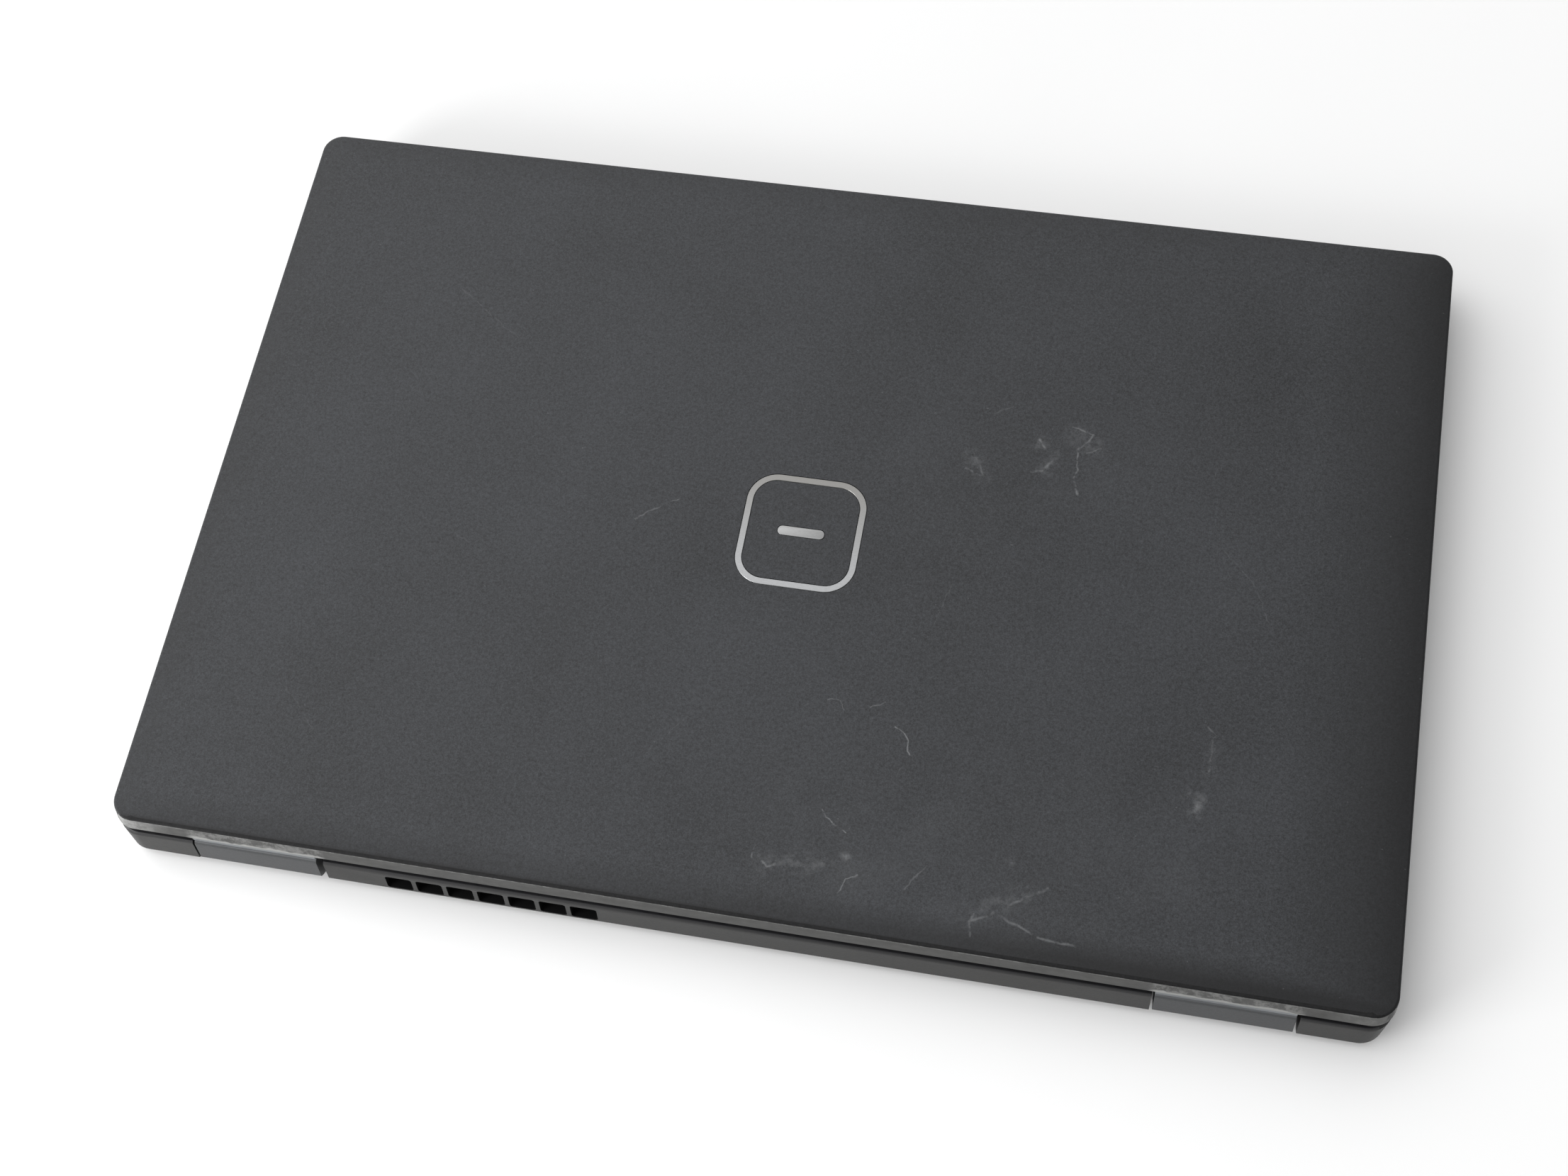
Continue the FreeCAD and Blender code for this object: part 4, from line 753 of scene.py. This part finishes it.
def refined(node, materials, width, segments, name=None):
    """A CAD node's form with its sharp edges rounded, to stand in its place."""
    mesh = bmesh.new()
    mesh.from_mesh(NODES[node].data)
    bmesh.ops.remove_doubles(mesh, verts=mesh.verts, dist=2e-6)
    if len(mesh.faces) < MOST_FACES:
        bmesh.ops.dissolve_limit(mesh, angle_limit=math.radians(1), verts=mesh.verts, edges=mesh.edges)
        large = [face for face in mesh.faces if len(face.verts) > MOST_CORNERS]
        bmesh.ops.triangulate(mesh, faces=large, quad_method="BEAUTY", ngon_method="BEAUTY")
    piece = finished(name or node + "_form", mesh, materials, SHARP)
    bevel = piece.modifiers.new("round", "BEVEL")
    bevel.width = width * MM
    bevel.segments = segments
    bevel.limit_method = "ANGLE"
    bevel.angle_limit = math.radians(SHARP)
    bevel.miter_outer = "MITER_ARC"
    bevel.harden_normals = False
    applied(piece)
    weigh_normals(piece, SHARP)
    return part_of(piece, node)


# ------------------------------------------------------------------ lid


LID_HALF = 180.5
LID_FRONT = -120.37
LID_TOP = 17.97
LID_CORNERS = (6.0, 7.0)
STRIP_LOW = (117.8, 13.8)
STRIP_SLOPE = -0.369
# The rounding of the top edge, the crown's fall and its reach, at the sides and at the rear.
EDGE_ROUNDS = (0.85, 0.5)
CROWNS = (0.6, 0.3)
REACHES = (17.0, 8.0)
# The heights change from the sides' to the rear's over this stretch of the lid.
REAR_START = 102
REAR_BLEND = 12
RIM_HEIGHTS = (12.9, 13.8, 15.2)
# The hollow under the lid's skin, the undercut behind it and the slots for the hinge arms.
WALL = 1.4
HOLLOW_REAR = 109.6
HOLLOW_TOP = 16.6
UNDERCUT_FRONT = 110.8
SLOT_SIDES = (142.7, 150.3)
SLOT_DEPTHS = (112.4, 114.9)
# The lid's materials, in the order of its slots.
PAINT, STRIP, ROLLED_EDGE, INSIDE = range(4)
# How close to a wall a face counts as the wall's own.
NEAR = 1.2
# The emblem's half width, band, corner and bar, its top and the groove round it.
EMBLEM_HALF = 18
EMBLEM_BAND = 2.0
EMBLEM_CORNER = 9
EMBLEM_BAR = (7, 1.5)
EMBLEM_TOP = 17.995
EMBLEM_GROOVE = 0.14


def strip_y(height):
    """Where the lid's slanted rear strip is at a height."""
    return STRIP_LOW[0] + STRIP_SLOPE * (height - STRIP_LOW[1])


def lid_rings():
    """The lid's outer rings from its lower rim, round its edge and over its crown."""
    rings = []

    def ring(inset, rear, side_z, rear_z):
        outline = corner_points(inset - LID_HALF, LID_HALF - inset, LID_FRONT + inset, rear, LID_CORNERS, 14)
        points = []
        for x, y in outline:
            share = min(max((y - REAR_START) / REAR_BLEND, 0), 1)
            points.append((x, y, side_z + (rear_z - side_z) * share))
        rings.append(points)

    for height in RIM_HEIGHTS:
        ring(0, strip_y(height), height, height)
    shoulders = [LID_TOP - crown - edge for crown, edge in zip(CROWNS, EDGE_ROUNDS)]
    shoulder_y = strip_y(shoulders[1])
    for step in range(7):
        turn = math.radians(15 * step)
        insets = [edge * (1 - math.cos(turn)) for edge in EDGE_ROUNDS]
        heights = [low + edge * math.sin(turn) for low, edge in zip(shoulders, EDGE_ROUNDS)]
        ring(insets[0], shoulder_y - insets[1], *heights)
    for step in range(1, 13):
        share = step / 12
        insets = [edge + share * (reach - edge) for edge, reach in zip(EDGE_ROUNDS, REACHES)]
        heights = [LID_TOP - crown * (1 - share) ** 3 for crown in CROWNS]
        ring(insets[0], shoulder_y - insets[1], *heights)
    return rings


def lid_shell(looks):
    """The lid's back shell with its crowned top, pale rear strip and undercut."""
    mesh = rings_to_mesh(lid_rings())
    inside = looks["bezel_plastic"]
    piece = finished("lid_shell", mesh, [looks["lid_finish"], looks["strip"], looks["shaded_lid_edge"], inside])
    across, along = around(0, LID_HALF - WALL), (LID_FRONT + WALL, HOLLOW_REAR)
    cutters = [
        slab("hollow", across, along, (10, HOLLOW_TOP), 4.6, 0.3, inside),
        slab("undercut", (-200, 200), (UNDERCUT_FRONT, 140), (10, STRIP_LOW[1]), 0.2, 0.1, inside),
    ]
    for name, side in SIDES.items():
        ends = sorted(side * end for end in SLOT_SIDES)
        cutters.append(slab("slot_" + name, ends, SLOT_DEPTHS, (12, 16), 0.2, 0.1, inside))
    cutters += badge_forms("pocket", EMBLEM_GROOVE, LID_TOP - 0.5, LID_TOP + 1, inside, 0.02)
    carved(piece, cutters)
    weigh_normals(piece)
    for face in piece.data.polygons:
        face.material_index = lid_region(face)
    part_of(piece, "lid_cover")


def lid_region(face):
    """Which of the lid's materials a face has."""
    place, normal = face.center / MM, face.normal
    beside = abs(place.x) > LID_HALF - NEAR or place.y < LID_FRONT + NEAR
    outside = beside or place.y > 115.6 or place.z > 17
    if not outside or (place.z < 13.85 and normal.z < -0.5):
        return INSIDE
    if place.y > 109.5 and normal.y > 0.05 and normal.z < 0.5 and place.z > 13.7:
        return STRIP
    # Faces of the rolled rear edge take the near-black painted shade.
    if place.y > 115.3 and normal.z > 0.3:
        return ROLLED_EDGE
    return PAINT


def badge_forms(name, growth, low, high, material, edge):
    """The emblem's forms, grown by a margin: a rounded-square band and a bar inside it."""
    outer, band, corner = EMBLEM_HALF + growth, EMBLEM_BAND + 2 * growth, EMBLEM_CORNER + growth
    inner = outer - band
    profile = (
        (low, inner, corner - band),
        (low, outer, corner),
        (high - edge, outer, corner),
        (high, outer - edge, corner - edge),
        (high, inner + edge, corner - band + edge),
        (high - edge, inner, corner - band),
    )
    rings = []
    for height, half, radius in profile:
        outline = corner_points(-half, half, -half, half, (radius, radius), 16)
        rings.append([(x, y, height) for x, y in outline])
    rings.append(rings[0])
    frame_band = finished(name + "_band", rings_to_mesh(rings, False, False), [material], 30)
    weld = bmesh.new()
    weld.from_mesh(frame_band.data)
    bmesh.ops.remove_doubles(weld, verts=weld.verts, dist=1e-7)
    weld.to_mesh(frame_band.data)
    weld.free()
    across, along = (around(0, half + growth) for half in EMBLEM_BAR)
    bar = slab(name + "_bar", across, along, (low, high), 1.4, edge, material, 8)
    return [frame_band, bar]


def lid_badge(looks):
    """The brushed emblem let into the lid."""
    forms = badge_forms("badge", 0, LID_TOP - 0.4, EMBLEM_TOP, looks["emblem_metal"], 0.12)
    part_of(joined("lid_badge", forms), "lid_emblem")


# The screen seal's section: how far inside the bezel's box and how high above its underside.
SEAL_PROFILE = ((1.2, 0.05), (1.2, -0.2), (1.5, -0.32), (1.9, -0.32), (2.2, -0.2), (2.2, 0.05))
SEAL_REAR = 0.5
SEAL_CORNER = 5
# The places, radii and heights of the glass over the camera and of the lamp beside it.
CAMERA_GLASS = ((0, -114, 13.22), 1.45, 0.07)
CAMERA_LAMP = ((-9, -114, 12.06), 0.6, 0.06)


def display(looks):
    """The bezel, the panel behind it, the screen's seal, and the camera's glass and lamp."""
    refined("display_bezel", [looks["bezel_plastic"]], 0.18, 2, "screen_bezel")
    refined("display_panel", [looks["display_glass"]], 0.1, 1, "screen_panel")
    low, high = box_mm("display_bezel")
    rings = []
    for inset, lift in SEAL_PROFILE:
        bounds = (low.x + inset, high.x - inset, low.y + inset, high.y - inset - SEAL_REAR)
        outline = corner_points(*bounds, (SEAL_CORNER, SEAL_CORNER), 8)
        rings.append([(x, y, low.z + lift) for x, y in outline])
    rings.append(rings[0])
    seal_piece = finished("screen_seal", rings_to_mesh(rings, False, False), [looks["rubber"]])
    part_of(seal_piece, "display_bezel", False)
    lens = disc("camera_glass", *CAMERA_GLASS, looks["lens"])
    part_of(lens, "camera_module", False)
    lamp = disc("camera_lamp", *CAMERA_LAMP, looks["legend"])
    part_of(lamp, "display_bezel", False)


def disc(name, place, radius, height, material, along_x=False):
    """A short round piece with a softened rim, upright or lying along X."""
    turn = Matrix.Rotation(math.pi / 2, 4, "Y") if along_x else Matrix()
    edge = min(radius, height) * 0.25
    profile = ((0, radius - edge), (edge, radius), (height - edge, radius), (height, radius - edge))
    angles = [math.tau * step / 32 for step in range(32)]
    rings = []
    for level, size in profile:
        rings.append([(x, y, level) for x, y in circle_points((0, 0), size, angles)])
    mesh = rings_to_mesh(rings)
    move = Matrix.Translation(Vector(place) * MM) @ turn
    bmesh.ops.transform(mesh, matrix=move, verts=mesh.verts)
    return finished(name, mesh, [material])


# ------------------------------------------------------------------ keyboard


LEGENDS = {
    "function_keys": "Esc F1 F2 F3 F4 F5 F6 F7 F8 F9 F10 F11 F12 Del Home End PgUp PgDn".split(),
    "number_keys": list("`1234567890-="),
    "backspace_key": ["Bksp"],
    "tab_key": ["Tab"],
    "top_letter_keys": list("QWERTYUIOP[]\\"),
    "caps_lock_key": ["Caps"],
    "home_letter_keys": list("ASDFGHJKL;'"),
    "enter_key": ["Enter"],
    "left_shift_key": ["Shift"],
    "bottom_letter_keys": list("ZXCVBNM,./"),
    "right_shift_key": ["Shift"],
    "control_keys": ["Ctrl", "Fn", "Sys", "Alt", "Alt", "Ctrl"],
    "space_bar": [""],
    "arrow_keys": None,
    "numpad_keys": None,
}
NUMPAD_ROWS = (("Num", "/", "*", "-"), "789", "456", "123", "0.")
TALL_KEY = 20
# The directions of the left, upper, lower and right arrows, in degrees.
ARROWS = (180, 90, 270, 0)
# A keycap's skirt and its dish, as pairs of an inset and a depth below the top.
SKIRT = ((0.12, 0.75), (0.3, 0.25), (0.5, 0.07), (0.85, 0))
DISH = ((1.8, 0.05), (3.2, 0.1), (4.6, 0.125))
KEY_CORNER = 1.5
# A legend's size for one letter and for more, and its place from a key's rear left corner.
LETTER_SIZES = (4.6, 2.7)
LETTER_PLACE = (2.3, -2.2, 0.004)
ARROW_RADIUS = 1.5


def keycap(index, low, high, material):
    """One keycap: round corners, sloping skirt and a shallow dish."""
    rings = []
    for inset, depth in ((0.0, high.z - low.z), *SKIRT):
        corner = max(KEY_CORNER - inset * 0.5, 0.5)
        outline = inset_outline(low, high, inset, corner, 4)
        rings.append([(x, y, high.z - depth) for x, y in outline])
    half_x, half_y = (high.x - low.x) / 2, (high.y - low.y) / 2
    for inset, depth in DISH:
        if inset < min(half_x, half_y) - 0.5:
            outline = inset_outline(low, high, inset, 0.7, 4)
            rings.append([(x, y, high.z - depth) for x, y in outline])
    return finished(f"cap_{index}", rings_to_mesh(rings), [material], 45)


def lettering(text, size, place, material):
    """A short printed legend, flat on a keycap."""
    curve = bpy.data.curves.new("legend", "FONT")
    curve.body = text
    curve.size = size * MM
    curve.extrude = 0.006 * MM
    curve.resolution_u = 3
    curve.align_x = "LEFT"
    curve.align_y = "TOP"
    source = bpy.data.objects.new("legend", curve)
    source.location = place * MM
    SCENE.collection.objects.link(source)
    bpy.context.view_layer.update()
    graph = bpy.context.evaluated_depsgraph_get()
    data = bpy.data.meshes.new_from_object(source.evaluated_get(graph))
    data.transform(source.matrix_world)
    data.materials.clear()
    data.materials.append(material)
    piece = bpy.data.objects.new("legend_mesh", data)
    SCENE.collection.objects.link(piece)
    bpy.data.objects.remove(source)
    return piece


def arrow(low, high, direction, material):
    """A small printed triangle that points along a direction."""
    centre = (low + high) / 2
    angles = [math.radians(direction + turn) for turn in (0, 130, 230)]
    outline = circle_points(centre, ARROW_RADIUS, angles)
    rings = [[(x, y, high.z + lift) for x, y in outline] for lift in (-0.118, 0.012)]
    return finished("arrow", rings_to_mesh(rings), [material])


def key_texts(node, boxes):
    """The legend of each key of a node, in the order of its boxes."""
    if node == "numpad_keys":
        return numpad_texts(boxes)
    texts = LEGENDS[node]
    return texts if texts else [""] * len(boxes)


def numpad_texts(boxes):
    """Legends for the keypad; tall keys are plus and enter, the wide one is zero."""
    texts = []
    rows = sorted({round(high.y) for _, high in boxes}, reverse=True)
    taken = {row: 0 for row in range(len(rows))}
    for low, high in boxes:
        row = rows.index(round(high.y))
        if high.y - low.y > TALL_KEY:
            texts.append("+" if row == 1 else "Ent")
            continue
        texts.append(NUMPAD_ROWS[row][taken[row]])
        taken[row] += 1
    return texts


def keyboard(looks):
    """Every key with its legend, one piece of caps and one of legends a node."""
    cap_look = looks["keycap_plastic"]
    for node in LEGENDS:
        boxes = islands(node)
        caps = [keycap(index, low, high, cap_look) for index, (low, high) in enumerate(boxes)]
        part_of(joined(node + "_caps", caps), node)
        prints = []
        if node == "arrow_keys":
            ordered = sorted(boxes, key=lambda box: (box[0].x, -box[0].y))
            for direction, (low, high) in zip(ARROWS, ordered):
                prints.append(arrow(low, high, direction, looks["legend"]))
        for text, (low, high) in zip(key_texts(node, boxes), boxes):
            if text:
                size = LETTER_SIZES[len(text) > 1]
                place = Vector((low.x, high.y, high.z)) + Vector(LETTER_PLACE)
                prints.append(lettering(text, size, place, looks["legend"]))
        if prints:
            part_of(joined(node + "_legends", prints), node, False)


def deck_parts(looks):
    """Touchpad, power button and its printed sign."""
    pad = slab_in("touch_plate", box_mm("touchpad"), 2.2, 0.18, looks["touch_surface"], 8)
    part_of(pad, "touchpad")
    low, high = box_mm("power_button")
    cap = slab_in("power_cap", (low, high), 2.2, 0.3, looks["keycap_plastic"], 8)
    part_of(cap, "power_button")
    centre = (low + high) / 2
    sign = sign_arc(centre, high.z, looks["legend"])
    across, along = around(centre.x, 0.13), (centre.y + 0.3, centre.y + 1.6)
    stem = slab("sign_stem", across, along, (high.z - 0.05, high.z + 0.01), 0.1, 0.01, looks["legend"], 2)
    part_of(joined("power_sign", [sign, stem]), "power_button", False)


# The power sign's ring in section, as pairs of a radius and a height over the button.
SIGN_PROFILE = ((1.3, -0.05), (1.3, 0.01), (1.05, 0.01), (1.05, -0.05))


def sign_arc(centre, top, material):
    """The open ring of the power sign, printed on a key's top."""
    steps = 24
    angles = [math.radians(120 + 300 * step / steps) for step in range(steps + 1)]
    arc = bmesh.new()
    rows = []
    for radius, lift in SIGN_PROFILE:
        ring = [(x, y, top + lift) for x, y in circle_points(centre, radius, angles)]
        rows.append([arc.verts.new(Vector(point) * MM) for point in ring])
    for first, second in zip(rows, rows[1:] + rows[:1]):
        for index in range(steps):
            arc.faces.new((first[index], first[index + 1], second[index + 1], second[index]))
    for end in (0, -1):
        arc.faces.new([row[end] for row in rows])
    bmesh.ops.recalc_face_normals(arc, faces=arc.faces)
    return finished("sign_arc", arc, [material])


# ------------------------------------------------------------------ base


# The box that holds the rear vents.
VENTS_LOW = (36, 100, 3.8)
VENTS_HIGH = (100, 121, 9.7)


def base(looks):
    """The base's shells, with rounded edges, and its feet."""
    shell_looks = [looks["base_plastic"], looks["vent_shade"]]
    shell = refined("palmrest_frame", shell_looks, 0.16, 2, "base_shell")
    # Faces inside the vent slots take the painted vent shade.
    for face in shell.data.polygons:
        spans = zip(VENTS_LOW, face.center / MM, VENTS_HIGH)
        in_vent = all(low < value < high for low, value, high in spans)
        if in_vent and abs(face.normal.y) < 0.6:
            face.material_index = 1
    refined("base_cover", [looks["base_plastic"]], 0.12, 1, "bottom_shell")
    feet = []
    for index, box in enumerate(islands("rubber_feet")):
        feet.append(slab_in(f"foot_{index}", box, 4.4, 0.3, looks["rubber"], 8))
    part_of(joined("foot_pads", feet), "rubber_feet")


# A screw head's radius and height and its recess's half length and half width; its shank's radius.
SCREW_HEAD = (2.2, 0.5)
CROSS = (1.3, 0.28)
SHANK_RADIUS = 1.0


def screws(looks):
    """Cross-head screws in the bottom cover."""
    steel = looks["steel"]
    heads = []
    for index, (low, high) in enumerate(islands("base_cover_screws")):
        x, y, _ = (low + high) / 2
        head = disc(f"screw_{index}", (x, y, low.z), *SCREW_HEAD, steel)
        cutters = []
        for arm, (half_x, half_y) in enumerate((CROSS, CROSS[::-1])):
            ranges = (around(x, half_x), around(y, half_y), (low.z - 1, low.z + 0.3))
            cutters.append(slab(f"cross_{arm}", *ranges, 0.1, 0.02, steel, 2))
        heads.append(carved(head, cutters))
        length = high.z - low.z - 0.5
        heads.append(disc(f"shank_{index}", (x, y, low.z + 0.45), SHANK_RADIUS, length, steel))
    part_of(joined("cover_screws", heads), "base_cover_screws")


# Each socket's tongue: its distance from the socket's sides and its thickness.
TONGUES = {"usb_c_socket": (1.4, 0.7), "hdmi_socket": (2.0, 1.1)}
NETWORK_PINS = 8
NETWORK_PITCH = 1.1
# How far behind a large USB socket's mouth its tongue and its contacts start and end.
USB_TONGUE = (1.2, 11.6)
USB_CONTACTS = (2.2, 10)


def tongues(looks):
    """The tongues and contacts inside the sockets."""
    part_of(joined("usb_tongues", usb_tongues(looks)), "usb_a_sockets", False)
    for node, (inset, thickness) in TONGUES.items():
        low, high = box_mm(node)
        across, along = (low.x + 1.4, high.x - 1.2), (low.y + inset, high.y - inset)
        heights = around((low.z + high.z) / 2, thickness / 2)
        tongue = slab(node + "_tongue", across, along, heights, 0.3, 0.15, looks["black_plastic"], 3)
        part_of(tongue, node, False)
    low, high = box_mm("ethernet_socket")
    across, heights = (low.x + 2, high.x - 2), (high.z - 2.0, high.z - 1.4)
    wires = []
    for pin in range(NETWORK_PINS):
        offset = (pin - (NETWORK_PINS - 1) / 2) * NETWORK_PITCH
        along = around((low.y + high.y) / 2 + offset, 0.2)
        wires.append(slab(f"wire_{pin}", across, along, heights, 0.1, 0.05, looks["gold"], 2))
    part_of(joined("network_contacts", wires), "ethernet_socket", False)
    low, high = box_mm("dc_in_socket")
    _, y, z = (low + high) / 2
    pin_piece = disc("power_pin", (low.x + 2, y, z), 0.4, 8, looks["gold"], along_x=True)
    part_of(pin_piece, "dc_in_socket", False)
    for node in ("usb_a_sockets", "usb_c_socket", "hdmi_socket", "ethernet_socket"):
        refined(node, [looks[SLOT_OF[node]]], 0.1, 1)


def usb_tongues(looks):
    """A tongue with four contacts for each of the large USB sockets."""
    pieces = []
    for index, (low, high) in enumerate(islands("usb_a_sockets")):
        outward = 1 if low.x > 0 else -1
        mouth = high.x if outward > 0 else low.x
        across = sorted(mouth - outward * end for end in USB_TONGUE)
        pin_across = sorted(mouth - outward * end for end in USB_CONTACTS)
        along = (low.y + 1.5, high.y - 1.5)
        top = (low.z + high.z) / 2 + 1.9
        name = f"usb_tongue_{index}"
        pieces.append(slab(name, across, along, (top - 1.7, top), 0.3, 0.15, looks["black_plastic"], 3))
        for pin in range(4):
            ranges = (around(low.y + 3.2 + pin * (high.y - low.y - 6.4) / 3, 0.5), (top - 1.8, top - 1.6))
            pieces.append(slab(f"{name}_pin_{pin}", pin_across, *ranges, 0.2, 0.05, looks["gold"], 2))
    return pieces


def plain_nodes(looks):
    """Every CAD node that shows as it is gets its material."""
    for node, shown in NODES.items():
        if shown.hide_render:
            continue
        # The heat sink's fins take the near-black painted shade instead of their slot's material.
        material = looks["fins" if node == "heat_sink_fins" else SLOT_OF[node]]
        shown.data.materials.clear()
        shown.data.materials.append(material)
        shown.data.polygons.foreach_set("material_index", [0] * len(shown.data.polygons))


# ------------------------------------------------------------------ the whole


def build():
    camera()
    studio()
    looks = make_looks()
    lid_shell(looks)
    lid_badge(looks)
    for name in SIDES:
        refined("hinge_cap_" + name, [looks["cap_plastic"]], 0.22, 2, f"hinge_cover_{name}")
    display(looks)
    keyboard(looks)
    deck_parts(looks)
    base(looks)
    screws(looks)
    tongues(looks)
    plain_nodes(looks)


build()
